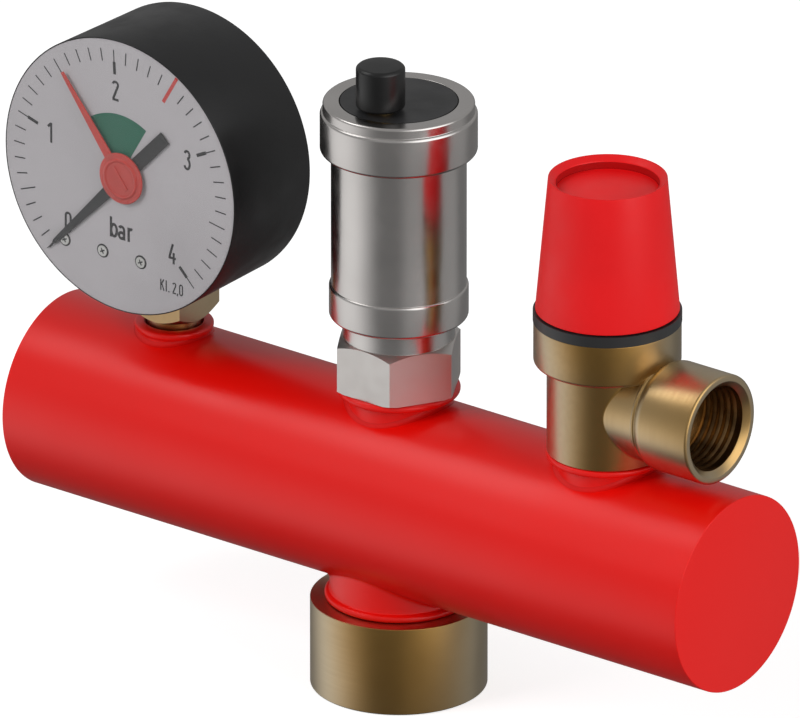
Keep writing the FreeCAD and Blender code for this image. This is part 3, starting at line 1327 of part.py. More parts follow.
def make_valve_body():
    """The brass body: inlet with its seat, side outlet and the thread that takes the bonnet."""
    body = turned("valve_body", [
        ("valve_bore_radius", "0"),
        ("inlet_thread_radius", "0"),
        ("inlet_thread_radius", above_valve_stub("valve_rim_top")),
        ("valve_body_radius", above_valve_stub("valve_rim_top")),
        ("valve_body_radius", above_valve_stub("valve_flange_top")),
        ("valve_bore_radius", above_valve_stub("valve_flange_top")),
    ], "valve_x", "0", "valve_stub_bottom")
    axis_z = above_valve_stub("outlet_z")
    add_cylinder(body, "outlet_root", "outlet_root_radius", "outlet_sleeve_x - valve_x + 1", "0", "0",
                 axis_z, ALONG_X)
    round_crossing(body, "outlet_root_fillet", "outlet_fillet",
                   lambda bounds: bounds.XMax > value("valve_bore_radius") + 1)
    add_cylinder(body, "flange", "valve_flange_radius", "valve_flange_top - valve_flange_z", "0", "0",
                 above_valve_stub("valve_flange_z"))
    round_edges(body, "flange_round", "valve_flange_round",
                lambda ring: close(ring.Radius, value("valve_flange_radius"))
                and close(ring.Center.z, value(above_valve_stub("valve_flange_z"))))
    add_cylinder(body, "outlet_sleeve", "outlet_radius", "outlet_sleeve_length",
                 "outlet_sleeve_x - valve_x", "0", axis_z, ALONG_X)
    shoulder = body.newObject("PartDesign::AdditiveCone", "outlet_shoulder_cone")
    bind(shoulder, "Radius1", "outlet_root_radius")
    bind(shoulder, "Radius2", "outlet_radius")
    bind(shoulder, "Height", "outlet_shoulder")
    place(shoulder, "outlet_sleeve_x - outlet_shoulder - valve_x", "0", axis_z, ALONG_X)
    round_edges(body, "outlet_rim_round", "outlet_edge",
                lambda ring: close(ring.Radius, value("outlet_radius"))
                and close(ring.Center.x, value("outlet_mouth_x - valve_x")))
    groove(body, "chamber", [
        ("valve_seat_radius", above_valve_stub("valve_seat_z")),
        ("0", above_valve_stub("valve_seat_z")),
        ("0", above_valve_stub("valve_ledge_z + 0.5")),
        ("valve_chamber_radius", above_valve_stub("valve_ledge_z + 0.5")),
        ("valve_chamber_radius", above_valve_stub("valve_chamber_floor")),
        ("valve_seat_radius", above_valve_stub("valve_chamber_floor")),
    ])
    drill(body, "inlet_bore", "valve_bore_radius", above_valve_stub("valve_seat_z") + " + 2",
          "0", "0", "-1")
    drill(body, "bonnet_thread_bore", "bonnet_thread_radius + thread_gap",
          "valve_flange_top - valve_ledge_z + 1", "0", "0", above_valve_stub("valve_ledge_z"))
    passage_start = "valve_seat_radius + 2"
    drill(body, "outlet_passage", "outlet_passage_radius", "outlet_mouth_x - valve_x - 1",
          passage_start, "0", axis_z, ALONG_X)
    drill(body, "outlet_thread", "outlet_thread_radius", "outlet_thread_length + 1",
          "outlet_mouth_x - outlet_thread_length - valve_x", "0", axis_z, ALONG_X)
    mouth = body.newObject("PartDesign::SubtractiveCone", "outlet_mouth")
    bind(mouth, "Radius1", "outlet_thread_radius")
    bind(mouth, "Radius2", "outlet_mouth_radius")
    bind(mouth, "Height", "outlet_mouth_radius - outlet_thread_radius")
    place(mouth, "outlet_mouth_x - valve_x - (outlet_mouth_radius - outlet_thread_radius)", "0",
          axis_z, ALONG_X)


def make_valve_bonnet():
    """The black spring housing, with three ramps on top that lift the knob as it turns."""
    bonnet = turned("valve_bonnet", [
        ("bonnet_bore_radius", "0"),
        ("bonnet_thread_radius", "0"),
        ("bonnet_thread_radius", "valve_flange_top - diaphragm_top"),
        ("bonnet_ring_radius", "valve_flange_top - diaphragm_top"),
        ("bonnet_ring_radius", "bonnet_ring_top - diaphragm_top"),
        ("bonnet_tower_radius", "bonnet_ring_top - diaphragm_top"),
        ("bonnet_tower_radius", "bonnet_tower_top - diaphragm_top"),
        ("bonnet_bore_radius", "bonnet_tower_top - diaphragm_top"),
    ], "valve_x", "0", "diaphragm_top")
    ramps(bonnet, "bonnet_ramp", "bonnet_tower_top - diaphragm_top - cam_rise - rest_gap * 2",
          "bonnet_tower_top - diaphragm_top")


def ramps(body, name, bottom, top):
    """Face cam ramps, each a short helical rise of a flat section, spaced evenly round the axis."""
    sketch = sketch_on(body, "XZ_Plane", name + "_section")
    inner = "bonnet_bore_radius + cam_inset"
    outer = "bonnet_tower_radius - cam_inset"
    outline(sketch, [(inner, bottom), (outer, bottom), (outer, top), (inner, top)])
    rise = body.newObject("PartDesign::AdditiveHelix", name)
    rise.Profile = sketch
    rise.ReferenceAxis = (sketch, ["V_Axis"])
    rise.Mode = "height-turns-angle"
    bind(rise, "Height", "cam_rise")
    bind(rise, "Turns", "cam_span / 360")
    repeat_about_z(body, name + "s", rise, "cam_count")


def make_valve_inside():
    turned("valve_diaphragm", [
        ("valve_stem_radius + thread_gap", "0"),
        ("bonnet_thread_radius - thread_gap", "0"),
        ("bonnet_thread_radius - thread_gap", "diaphragm_thick"),
        ("valve_stem_radius + thread_gap", "diaphragm_thick"),
    ], "valve_x", "0", "valve_ledge_z")
    hub_top = "valve_ledge_z - rest_gap - disc_bottom"
    pocket = "seal_bottom + seal_thick - disc_bottom"
    stem_hole = "valve_stem_radius + weld_gap"
    turned("valve_disc", [
        ("seal_radius + weld_gap", "0"),
        ("disc_radius", "0"),
        ("disc_radius", "disc_rim_thick"),
        ("disc_hub_radius", "disc_rim_thick + 1"),
        ("disc_hub_radius", hub_top),
        (stem_hole, hub_top),
        (stem_hole, pocket),
        ("seal_radius + weld_gap", pocket),
    ], "valve_x", "0", "disc_bottom")
    turned("valve_seat_seal", [("0", "0"), ("seal_radius", "0"), ("seal_radius", "seal_thick"),
                               ("0", "seal_thick")], "valve_x", "0", "seal_bottom")
    turned("spring_plate", [
        (stem_hole, "0"),
        ("spring_plate_radius", "0"),
        ("spring_plate_radius", "spring_plate_thick"),
        ("spring_collar_radius", "spring_plate_thick"),
        ("spring_collar_radius", "spring_plate_thick + spring_collar_height"),
        (stem_hole, "spring_plate_thick + spring_collar_height"),
    ], "valve_x", "0", "spring_plate_z")
    stem_bottom_z = "(seal_bottom + seal_thick + weld_gap)"
    thread = "knob_screw_radius + thread_gap"
    turned("valve_stem", [
        ("0", "0"),
        ("valve_stem_radius", "0"),
        ("valve_stem_radius", f"stem_top - {stem_bottom_z}"),
        (thread, f"stem_top - {stem_bottom_z}"),
        (thread, f"stem_top - {stem_bottom_z} - knob_screw_length"),
        ("0", f"stem_top - {stem_bottom_z} - knob_screw_length"),
    ], "valve_x", "0", stem_bottom_z)
    coil("valve_spring", "spring_radius", "spring_wire", "(adjuster_z - spring_bottom)",
         "spring_turns", "valve_x", "0", "spring_bottom")
    ring = "bonnet_bore_radius - thread_gap"
    adjuster = turned("adjusting_screw", [
        ("adjuster_bore_radius", "0"),
        (ring, "0"),
        (ring, "adjuster_thick"),
        ("adjuster_bore_radius", "adjuster_thick"),
    ], "valve_x", "0", "adjuster_z")
    mill_box(adjuster, "spanner_slot", ("bonnet_bore_radius * 3", "adjuster_slot", "adjuster_thick / 2"),
             ("-bonnet_bore_radius * 1.5", "-adjuster_slot / 2", "adjuster_thick * 0.6"))


def make_knob():
    """The red knob, hung on the stem's top by a screw under its plug."""
    roof = "(knob_roof_z - knob_bottom)"
    floor = "(knob_floor_z - knob_bottom)"
    seat = "(screw_seat_z - knob_bottom)"
    hole = "knob_screw_radius + rest_gap"
    knob = turned("valve_knob", [
        ("knob_inner_base", "0"),
        ("knob_base_radius", "0"),
        ("knob_crest_radius", "knob_crest_z - knob_bottom"),
        ("knob_recess_radius", "knob_recess_edge_z - knob_bottom"),
        ("knob_recess_radius", floor),
        ("knob_screw_head_radius + free_gap", floor),
        ("knob_screw_head_radius + free_gap", seat),
        (hole, seat),
        (hole, roof),
        ("knob_inner_roof", roof),
    ], "valve_x", "0", "knob_bottom")
    ring = sketch_on(knob, "XY_Plane", "cam_ring_outline", "knob_cam_z - knob_bottom")
    circle(ring, "0", "0", "knob_cam_radius")
    circle(ring, "0", "0", "bonnet_bore_radius")
    pad = knob.newObject("PartDesign::Pad", "cam_ring")
    pad.Profile = ring
    bind(pad, "Length", f"{roof} + 0.5 - (knob_cam_z - knob_bottom)")
    ramps(knob, "knob_ramp", "cam_start_z - knob_bottom",
          "cam_start_z - knob_bottom + cam_rise + 2 * rest_gap")
    plug = "knob_recess_radius - rest_gap"
    turned("knob_plug", [("0", "0"), (plug, "0"), (plug, "knob_plug_thick"), ("0", "knob_plug_thick")],
           "valve_x", "0", "knob_floor_z")
    turned("knob_screw", [
        ("0", "0"),
        ("knob_screw_radius", "0"),
        ("knob_screw_radius", "knob_screw_length + screw_seat_z - stem_top + rest_gap"),
        ("knob_screw_head_radius", "knob_screw_length + screw_seat_z - stem_top + rest_gap"),
        ("knob_screw_head_radius",
         "knob_screw_length + screw_seat_z - stem_top + knob_screw_head_thick"),
        ("0", "knob_screw_length + screw_seat_z - stem_top + knob_screw_head_thick"),
    ], "valve_x", "0", "stem_top - knob_screw_length")


make_manifold()
make_collar("gauge_socket", "gauge_x", "gauge_rim_top", "gauge_rim_radius", "gauge_neck_radius",
            "gauge_thread_radius")
make_collar("vent_socket", "0", "vent_rim_top", "vent_rim_radius", "vent_neck_radius",
            "inlet_thread_radius")
make_collar("valve_socket", "valve_x", "valve_rim_top", "valve_rim_radius", "valve_neck_radius",
            "inlet_thread_radius")
make_base()
make_gauge_case()
make_case_screws()
make_gauge_window()
make_gauge_stem()
make_bourdon_tube()
make_plate("movement_back_plate", "stem_block_front_y", False)
make_plate("movement_front_plate", "front_plate_back_y", True)
rods("movement_pillars", "pillar_radius", "plate_spacing", "back_plate_front_y", MOVEMENT_PILLARS)
make_screw_row("movement_screws", "0.8", "1.5", "0.8", "3.5", "-3.5", "back_plate_front_y",
               MOVEMENT_SCREW_W, "8", "2")
make_sector()
make_pointer_arbor()
make_tip_link()
make_hairspring()
make_dial()
make_dial_pillars()
make_screw_row("dial_screws", "dial_screw_radius", "dial_screw_head_radius", "dial_screw_head_thick",
               "dial_screw_length", "dial_screw_first_u", "dial_front_y", "dial_screw_w",
               "dial_screw_spacing", "3")
make_pointers()
make_shutoff()
make_vent_body()
make_vent_head()
make_vent_insert()
make_vent_cap()
make_vent_float()
make_valve_body()
make_valve_bonnet()
make_valve_inside()
make_knob()
doc.recompute()

for item in doc.Objects:
    if "Invalid" in item.State or "Error" in item.State:
        raise RuntimeError(f"{item.Name} is {item.State}")

NODES = [item for item in doc.Objects
         if item.TypeId in ("PartDesign::Body", "Part::Compound", "Part::Feature")]
for node in NODES:
    if node.Shape.isNull() or not node.Shape.isValid():
        raise RuntimeError(f"{node.Label} has no valid shape")

os.makedirs("parts", exist_ok=True)
for node in NODES:
    node.Shape.exportStep(f"parts/{node.Label}.step")
    print(f"{node.Label}: {len(node.Shape.Solids)} solid, {node.Shape.Volume:.1f} mm3")
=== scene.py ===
import json
from math import cos, pi, radians, sin, sqrt

import bmesh
import bpy
from mathutils import Matrix, Vector


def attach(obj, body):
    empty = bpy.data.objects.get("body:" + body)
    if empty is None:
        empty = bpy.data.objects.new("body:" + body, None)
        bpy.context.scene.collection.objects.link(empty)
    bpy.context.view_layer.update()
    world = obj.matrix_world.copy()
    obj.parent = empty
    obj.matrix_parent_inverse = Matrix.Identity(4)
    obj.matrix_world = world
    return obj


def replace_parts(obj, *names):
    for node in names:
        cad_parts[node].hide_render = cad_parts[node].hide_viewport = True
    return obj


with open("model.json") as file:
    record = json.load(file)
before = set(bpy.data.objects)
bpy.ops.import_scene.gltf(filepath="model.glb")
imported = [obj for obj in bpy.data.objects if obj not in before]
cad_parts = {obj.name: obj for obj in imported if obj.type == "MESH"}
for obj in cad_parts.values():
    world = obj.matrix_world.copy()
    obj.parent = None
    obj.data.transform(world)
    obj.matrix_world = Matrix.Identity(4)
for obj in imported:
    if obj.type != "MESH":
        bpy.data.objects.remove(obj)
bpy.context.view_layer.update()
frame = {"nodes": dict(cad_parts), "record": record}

# Every size below is in millimetres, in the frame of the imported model.
MM = 0.001
PHOTO_WIDTH = 800
PHOTO_SCALE = 4.62  # pixels to a millimetre

# pipe
PIPE_RADIUS = 22.0
PIPE_WALL = 2.0
PIPE_END = 92.5
PIPE_Z = 45.1
NECK_RADIUS = 15.05
NECK_BORE = 12.5
COLLAR_FOOT = 58.5
SEAM_FILLET = 1.2
MUFF_THREAD_PITCH = 2.309
# gauge
GAUGE_X = -62.0
GAUGE_Z = 108.9
CASE_BACK_Y = 8.6
CASE_DEPTH = 27.5
CASE_RADIUS = 31.7
CASE_BACK_RADIUS = 31.15
CASE_LIP = 0.28
CASE_BORE = 30.0
CASE_FLOOR = 1.65
DIAL_FRONT = CASE_DEPTH - 0.1
DIAL_THICK = 0.5
DIAL_RADIUS = 31.42
CASE_SCREW_W = -23.5
DIAL_SCREW_U = -15.3
DIAL_SCREW_W = -18.75
DIAL_SCREW_STEP = 10.5
AXIS_U = 1.0
ARBOR_HOLE = 1.4
SCALE_TOP = 29.3
PRINT_LIFT = 0.02
WINDOW_FRONT = DIAL_FRONT + 2.1
WINDOW_THICK = 0.42
POINTER_ANGLE = 226.4
SET_POINTER_ANGLE = 128
# vent
CAP_Y = -6.4
# safety valve
VALVE_X = 57.0
OUTLET_Z = 82.25
OUTLET_THREAD_PITCH = 1.814

scene = bpy.context.scene
scene.view_settings.view_transform = "Standard"

UPRIGHT = Matrix.Identity(4)
ALONG_PIPE = Matrix.Rotation(pi / 2, 4, "Y")
FACING_FRONT = Matrix.Rotation(pi / 2, 4, "X")


def gauge_place(forward=0.0):
    """Puts local X and Y in the dial's plane and local Z out of the dial, from the case's back."""
    spot = Vector((GAUGE_X, CASE_BACK_Y - forward, GAUGE_Z))
    return Matrix.Translation(spot) @ FACING_FRONT


def linear(red, green, blue):
    """The linear colour of three 8-bit display values."""
    shares = []
    for value in (red, green, blue):
        share = value / 255
        shares.append(share / 12.92 if share <= 0.04045 else ((share + 0.055) / 1.055) ** 2.4)
    return (*shares, 1.0)


# Materials
def colour_mix(nodes, blend="MIX"):
    mix = nodes.new("ShaderNodeMix")
    mix.data_type = "RGBA"
    mix.blend_type = blend
    return mix


class Finish:
    """A node material whose patterns run on Object coordinates."""

    def __init__(self, name, colour, rough, metal=0.0):
        self.material = bpy.data.materials.new(name)
        self.material.use_nodes = True
        self.nodes = self.material.node_tree.nodes
        self.links = self.material.node_tree.links
        self.shader = self.nodes["Principled BSDF"]
        self.shader.inputs["Base Color"].default_value = colour
        self.shader.inputs["Roughness"].default_value = rough
        self.shader.inputs["Metallic"].default_value = metal
        self.colour = colour
        self.rough = rough
        self.place = self.nodes.new("ShaderNodeTexCoord").outputs["Object"]
        self.height = None

    def noise(self, scale, detail=3.0, stretch=(1, 1, 1)):
        mapping = self.nodes.new("ShaderNodeMapping")
        mapping.inputs["Scale"].default_value = stretch
        self.links.new(self.place, mapping.inputs["Vector"])
        texture = self.nodes.new("ShaderNodeTexNoise")
        texture.inputs["Scale"].default_value = scale
        texture.inputs["Detail"].default_value = detail
        self.links.new(mapping.outputs["Vector"], texture.inputs["Vector"])
        return texture.outputs["Fac"]

    def ranged(self, source, low, high, start=0.3, end=0.7):
        span = self.nodes.new("ShaderNodeMapRange")
        span.interpolation_type = "SMOOTHSTEP"
        span.inputs["From Min"].default_value = start
        span.inputs["From Max"].default_value = end
        span.inputs["To Min"].default_value = low
        span.inputs["To Max"].default_value = high
        self.links.new(source, span.inputs["Value"])
        return span.outputs["Result"]

    def tint(self, source, dark, light):
        """Lets the colour drift between two shades of itself."""
        mix = colour_mix(self.nodes)
        mix.inputs["A"].default_value = [*(c * dark for c in self.colour[:3]), 1]
        mix.inputs["B"].default_value = [*(min(c * light, 1) for c in self.colour[:3]), 1]
        self.links.new(source, mix.inputs["Factor"])
        self.links.new(mix.outputs["Result"], self.shader.inputs["Base Color"])

    def facing_tint(self, front, slant):
        """Lets the colour change with the angle that the surface is seen at, as polished brass does."""
        angle = self.nodes.new("ShaderNodeLayerWeight")
        angle.inputs["Blend"].default_value = 0.5
        share = self.ranged(angle.outputs["Facing"], 0, 1, 0.05, 0.55)
        mix = colour_mix(self.nodes)
        mix.inputs["A"].default_value = (*front, 1)
        mix.inputs["B"].default_value = (*slant, 1)
        self.links.new(share, mix.inputs["Factor"])
        worn = colour_mix(self.nodes, "MULTIPLY")
        worn.inputs["B"].default_value = (0.86, 0.84, 0.8, 1)
        patches = self.ranged(self.noise(55, 5), 0, 0.55, 0.4, 0.75)
        self.links.new(patches, worn.inputs["Factor"])
        self.links.new(mix.outputs["Result"], worn.inputs["A"])
        self.links.new(worn.outputs["Result"], self.shader.inputs["Base Color"])

    def sheen_drift(self, source, spread):
        """Lets the roughness drift about its level, on one side of 0.274, where the denoiser makes edges."""
        drift = self.ranged(source, self.rough - spread, self.rough + spread)
        self.links.new(drift, self.shader.inputs["Roughness"])

    def relief(self, source, depth, strength):
        bump = self.nodes.new("ShaderNodeBump")
        bump.inputs["Strength"].default_value = strength
        bump.inputs["Distance"].default_value = depth
        self.links.new(source, bump.inputs["Height"])
        if self.height is not None:
            self.links.new(self.height, bump.inputs["Normal"])
        self.height = bump.outputs["Normal"]
        self.links.new(self.height, self.shader.inputs["Normal"])


def powder_coat(name, colour, rough):
    """Smooth baked powder: a slow drift of shade and a very shallow orange peel."""
    finish = Finish(name, colour, rough)
    finish.tint(finish.ranged(finish.noise(9, 2), 0, 1, 0.15, 0.85), 0.95, 1.04)
    finish.sheen_drift(finish.noise(30, 2), 0.03)
    finish.relief(finish.noise(420, 2), 0.000012, 0.35)
    return finish.material


def plated(name, colour, rough):
    """Bright nickel over a blasted surface: an even, very fine grain."""
    finish = Finish(name, colour, rough, 1.0)
    finish.tint(finish.ranged(finish.noise(60, 5), 0, 1), 0.95, 1.04)
    finish.sheen_drift(finish.noise(240, 4), 0.03)
    finish.relief(finish.noise(2600, 3), 0.000006, 0.35)
    return finish.material


def bare_brass(name, rough, along=None, facing=(0.44, 0.25, 0.072)):
    """Brass that is golden where it faces the eye and pale at a slant, with fine lathe lines."""
    finish = Finish(name, (0.48, 0.33, 0.17, 1), rough, 1.0)
    finish.facing_tint(facing, (0.56, 0.46, 0.31))
    stretch = {"X": (1, 0.03, 0.03), "Z": (0.03, 0.03, 1), None: (1, 1, 1)}[along]
    grain = finish.noise(2600 if along else 900, 3, stretch)
    finish.sheen_drift(grain, 0.03)
    finish.relief(grain, 0.000004 if along else 0.000007, 0.35)
    finish.relief(finish.noise(1500, 2), 0.000004, 0.3)
    return finish.material


def painted_shade_bore(name, rough):
    """Brass deep in a bore, its colour darkened as painted shade, with lighter and darker patches."""
    finish = Finish(name, (0.27, 0.165, 0.075, 1), rough, 1.0)
    finish.tint(finish.ranged(finish.noise(160, 4), 0, 1), 0.55, 1.5)
    finish.relief(finish.noise(900, 2), 0.00001, 0.4)
    return finish.material


def turned_metal(name, colour, rough, along):
    """Metal from a lathe: fine grooves round the axis that the tool ran about."""
    finish = Finish(name, colour, rough, 1.0)
    stretch = {"X": (1, 0.02, 0.02), "Y": (0.02, 1, 0.02), "Z": (0.02, 0.02, 1)}[along]
    grooves = finish.noise(5200, 4, stretch)
    finish.tint(finish.ranged(finish.noise(60, 5), 0, 1), 0.92, 1.048)
    finish.sheen_drift(grooves, 0.045)
    finish.relief(grooves, 0.000012, 0.6)
    finish.relief(finish.noise(1500, 2), 0.0000072, 0.4)
    return finish.material


def cast_metal(name, colour, rough):
    """Pressed and blasted metal with a soft skin."""
    finish = Finish(name, colour, rough, 1.0)
    finish.tint(finish.ranged(finish.noise(45, 5), 0, 1), 0.86, 1.06)
    finish.sheen_drift(finish.noise(160, 4), 0.06)
    finish.relief(finish.noise(900, 3), 0.00002, 0.5)
    return finish.material


def moulded(name, colour, rough, texture=1100, depth=0.00002):
    finish = Finish(name, colour, rough)
    finish.tint(finish.ranged(finish.noise(25, 3), 0, 1), 0.92, 1.06)
    finish.sheen_drift(finish.noise(140, 3), 0.05)
    finish.relief(finish.noise(texture, 3), depth, 0.6)
    return finish.material


def rubbered(name, colour):
    finish = Finish(name, colour, 0.75)
    finish.tint(finish.ranged(finish.noise(60, 4), 0, 1), 0.8, 1.15)
    finish.relief(finish.noise(700, 4), 0.00004, 0.5)
    return finish.material


def clear_moulding(name):
    finish = Finish(name, linear(250, 252, 252), 0.04)
    finish.sheen_drift(finish.noise(20, 2), 0.02)
    finish.shader.inputs["Alpha"].default_value = 0.025
    finish.shader.inputs["IOR"].default_value = 1.49
    return finish.material


def tinted_moulding(name, colour):
    """The set pointer's orange-red plastic, with light scattered inside it."""
    finish = Finish(name, colour, 0.28)
    finish.tint(finish.ranged(finish.noise(80, 3), 0, 1), 0.93, 1.07)
    finish.relief(finish.noise(300, 2), 0.00001, 0.4)
    finish.shader.inputs["Subsurface Weight"].default_value = 0.35
    finish.shader.inputs["Subsurface Scale"].default_value = 0.0015
    return finish.material


finishes = {
    "pipe_red": powder_coat("pipe_red", linear(228, 12, 5), 0.315),
    # A darker, rougher copy of pipe_red for the seam fillets: its darker colour is painted shade where the
    # necks meet the pipe.
    "pipe_red_dull_painted_shade": powder_coat("pipe_red_dull_painted_shade", linear(208, 8, 4), 0.5),
    "muff_brass": bare_brass("muff_brass", 0.33, "Z"),
    "valve_brass": bare_brass("valve_brass", 0.33),
    "outlet_brass": bare_brass("outlet_brass", 0.33, "X", (0.57, 0.36, 0.14)),
    "bore_brass_painted_shade": painted_shade_bore("bore_brass_painted_shade", 0.38),
    "nickel": plated("nickel", linear(206, 202, 199), 0.235),
    "nickel_dull": plated("nickel_dull", linear(217, 213, 209), 0.38),
    "case_black": moulded("case_black", linear(18, 18, 19), 0.36, 1400, 0.00002),
    "cap_black": moulded("cap_black", linear(16, 16, 16), 0.34, 900, 0.00001),
    "trim_black": moulded("trim_black", linear(38, 38, 39), 0.4),
    "window_clear": clear_moulding("window_clear"),
    "dial_white": moulded("dial_white", linear(172, 168, 171), 0.5, 600, 0.000004),
    "dial_ink": moulded("dial_ink", linear(38, 36, 38), 0.6, 900, 0.000002),
    "dial_green": moulded("dial_green", linear(22, 90, 70), 0.6, 900, 0.000002),
    "dial_red": moulded("dial_red", linear(180, 60, 56), 0.6, 900, 0.000002),
    "pointer_black": moulded("pointer_black", linear(33, 32, 33), 0.5, 900, 0.00001),
    "set_pointer_red": tinted_moulding("set_pointer_red", linear(180, 46, 34)),
    "knob_red": moulded("knob_red", linear(230, 8, 14), 0.44, 1000, 0.000012),
    # A brighter copy of knob_red: painted light for the knob's recessed disc.
    "knob_red_painted_light": moulded("knob_red_painted_light", linear(255, 16, 20), 0.4, 1000, 0.000012),
    # A darker copy of the knob's red: painted shade for the recess wall.
    "painted_shade_red": moulded("painted_shade_red", linear(168, 4, 6), 0.6, 1000, 0.000012),
    "movement_brass": turned_metal("movement_brass", linear(196, 162, 100), 0.34, "Y"),
    "tube_bronze": cast_metal("tube_bronze", linear(176, 132, 88), 0.35),
    "steel": turned_metal("steel", linear(190, 189, 186), 0.34, "Y"),
    "spring_steel": cast_metal("spring_steel", linear(150, 150, 152), 0.35),
    "seal_rubber": rubbered("seal_rubber", linear(34, 34, 35)),
    "float_plastic": moulded("float_plastic", linear(222, 220, 208), 0.5),
}

for part in frame["record"]["subparts"]:
    node = frame["nodes"][part["node"]]
    node.data.materials.clear()
    finish = "nickel_dull" if part["node"] == "shutoff_body" else part["material_slot"]
    node.data.materials.append(finishes[finish])


# Building with bmesh
def piece(name, mesh, finish, body="group", place=UPRIGHT, sharp=40):
    """Ends a bmesh: millimetres to metres, its place put into the mesh, its finish and its body."""
    mesh.transform(place)
    bmesh.ops.scale(mesh, vec=(MM, MM, MM), verts=mesh.verts)
    data = bpy.data.meshes.new(name)
    mesh.to_mesh(data)
    mesh.free()
    data.shade_smooth()
    data.set_sharp_from_angle(angle=radians(sharp))
    data.materials.append(finishes[finish])
    made = bpy.data.objects.new(name, data)
    scene.collection.objects.link(made)
    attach(made, body)
    return made


def line_of(mesh, points, closed):
    """A run of edges through points of radius, height and the rounding of that corner."""
    corners = [mesh.verts.new((radius, 0, height)) for radius, height, *_ in points]
    pairs = list(zip(corners, corners[1:]))
    if closed:
        pairs.append((corners[-1], corners[0]))
    for pair in pairs:
        mesh.edges.new(pair)
    for corner, point in zip(corners, points):
        if len(point) > 2 and point[2] > 0:
            bmesh.ops.bevel(mesh, geom=[corner], offset=point[2], affect="VERTICES", segments=4,
                            profile=0.5, offset_type="OFFSET", material=-1)


def spun(points, closed=True, steps=160):
    """A lathe-turned solid about local Z from its half section."""
    mesh = bmesh.new()
    line_of(mesh, points, closed)
    bmesh.ops.spin(mesh, geom=mesh.verts[:] + mesh.edges[:], cent=(0, 0, 0), axis=(0, 0, 1),
                   angle=2 * pi, steps=steps, use_merge=True)
    bmesh.ops.remove_doubles(mesh, verts=mesh.verts, dist=0.0005)
    bmesh.ops.recalc_face_normals(mesh, faces=mesh.faces)
    return mesh


def at(x=0.0, y=0.0, z=0.0, turn=UPRIGHT):
    return Matrix.Translation((x, y, z)) @ turn


# Pipe, its collars and the boiler connection
def make_pipe():
    """The closed pipe, welded smooth at its ends, with the mouth for the neck underneath."""
    inner = PIPE_RADIUS - PIPE_WALL
    inner_end = PIPE_END - 3
    finely = [step - 16 for step in range(33)]
    pipe = bmesh.new()
    for radius, end, rounding in ((PIPE_RADIUS, PIPE_END, 0.18), (inner, inner_end, 0)):
        run = [(0, -end), (radius, -end, rounding)]
        run += [(radius, along) for along in finely]
        run += [(radius, end, rounding), (0, end)]
        line_of(pipe, run, False)
    bmesh.ops.spin(pipe, geom=pipe.verts[:] + pipe.edges[:], cent=(0, 0, 0), axis=(0, 0, 1),
                   angle=2 * pi, steps=256, use_merge=True)
    bmesh.ops.remove_doubles(pipe, verts=pipe.verts, dist=0.0005)
    bmesh.ops.recalc_face_normals(pipe, faces=pipe.faces)
    cavity = [face for face in pipe.faces
              if all(vert.co.xy.length < inner + 0.1 and abs(vert.co.z) < inner_end + 0.1
                     for vert in face.verts)]
    bmesh.ops.reverse_faces(pipe, faces=cavity)
    pipe.transform(ALONG_PIPE)
    mouth = []
    for face in pipe.faces:
        middle = face.calc_center_median()
        if middle.z < 0 and middle.xy.length < 13.8 and abs(middle.x) < 16:
            mouth.append(face)
    bmesh.ops.delete(pipe, geom=mouth, context="FACES")
    made = piece("pipe", pipe, "pipe_red", place=at(z=PIPE_Z))
    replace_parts(made, "manifold_tube", "end_cap_left", "end_cap_right")


def round_crossing(name, neck, main, fillet, finish, place):
    """The hollow where a round neck along local Z leaves a round form along local X.

    A last ring sinks a skirt into the round form, so that no edge shows."""
    mesh = bmesh.new()
    rings = [bmesh.ops.create_circle(mesh, segments=160, radius=neck)["verts"]]
    steps = 8
    for _ in range(steps + 1):
        edges = list({edge for vert in rings[-1] for edge in vert.link_edges
                      if all(end in rings[-1] for end in edge.verts)})
        made = bmesh.ops.extrude_edge_only(mesh, edges=edges)["geom"]
        rings.append([item for item in made if isinstance(item, bmesh.types.BMVert)])
    for step, ring in enumerate(rings):
        for vert in ring:
            around = Vector((vert.co.x, vert.co.y, 0)).normalized()
            centre = around * (neck + fillet)
            centre.z = sqrt((main + fillet) ** 2 - centre.y ** 2)
            to_main = -Vector((0, centre.y, centre.z)).normalized()
            direction = (-around).slerp(to_main, min(step / steps, 1))
            vert.co = centre + direction * (fillet + 0.004)
            if step > steps:
                along = around - to_main * around.dot(to_main)
                vert.co += along.normalized() * 0.8 + to_main * 0.03
    bmesh.ops.recalc_face_normals(mesh, faces=mesh.faces)
    face = mesh.faces[0]
    if face.normal.dot(face.calc_center_median().xyz) < 0:
        bmesh.ops.reverse_faces(mesh, faces=mesh.faces)
    piece(name, mesh, finish, place=place, sharp=80)


def make_collar(name, x, top, rim, neck, hole):
    """A drawn collar: straight neck, rolled rim and a slightly dished upper face."""
    ring = spun([
        (hole, COLLAR_FOOT), (neck, COLLAR_FOOT), (neck, top - 1.7, 0.5), (rim - 0.1, top - 1.75, 0.75),
        (rim, top - 0.2, 0.5), (rim - 1.6, top, 0.3), (hole, top - 0.05, 0.15),
    ])
    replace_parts(piece(name + "_collar", ring, "pipe_red", place=at(x)), name)
    # The seam fillet takes the darker copy of the red: painted shade where the neck meets the pipe, with a
    # rougher gloss.
    round_crossing(name + "_seam", neck, PIPE_RADIUS, SEAM_FILLET, "pipe_red_dull_painted_shade", at(x, 0, PIPE_Z))


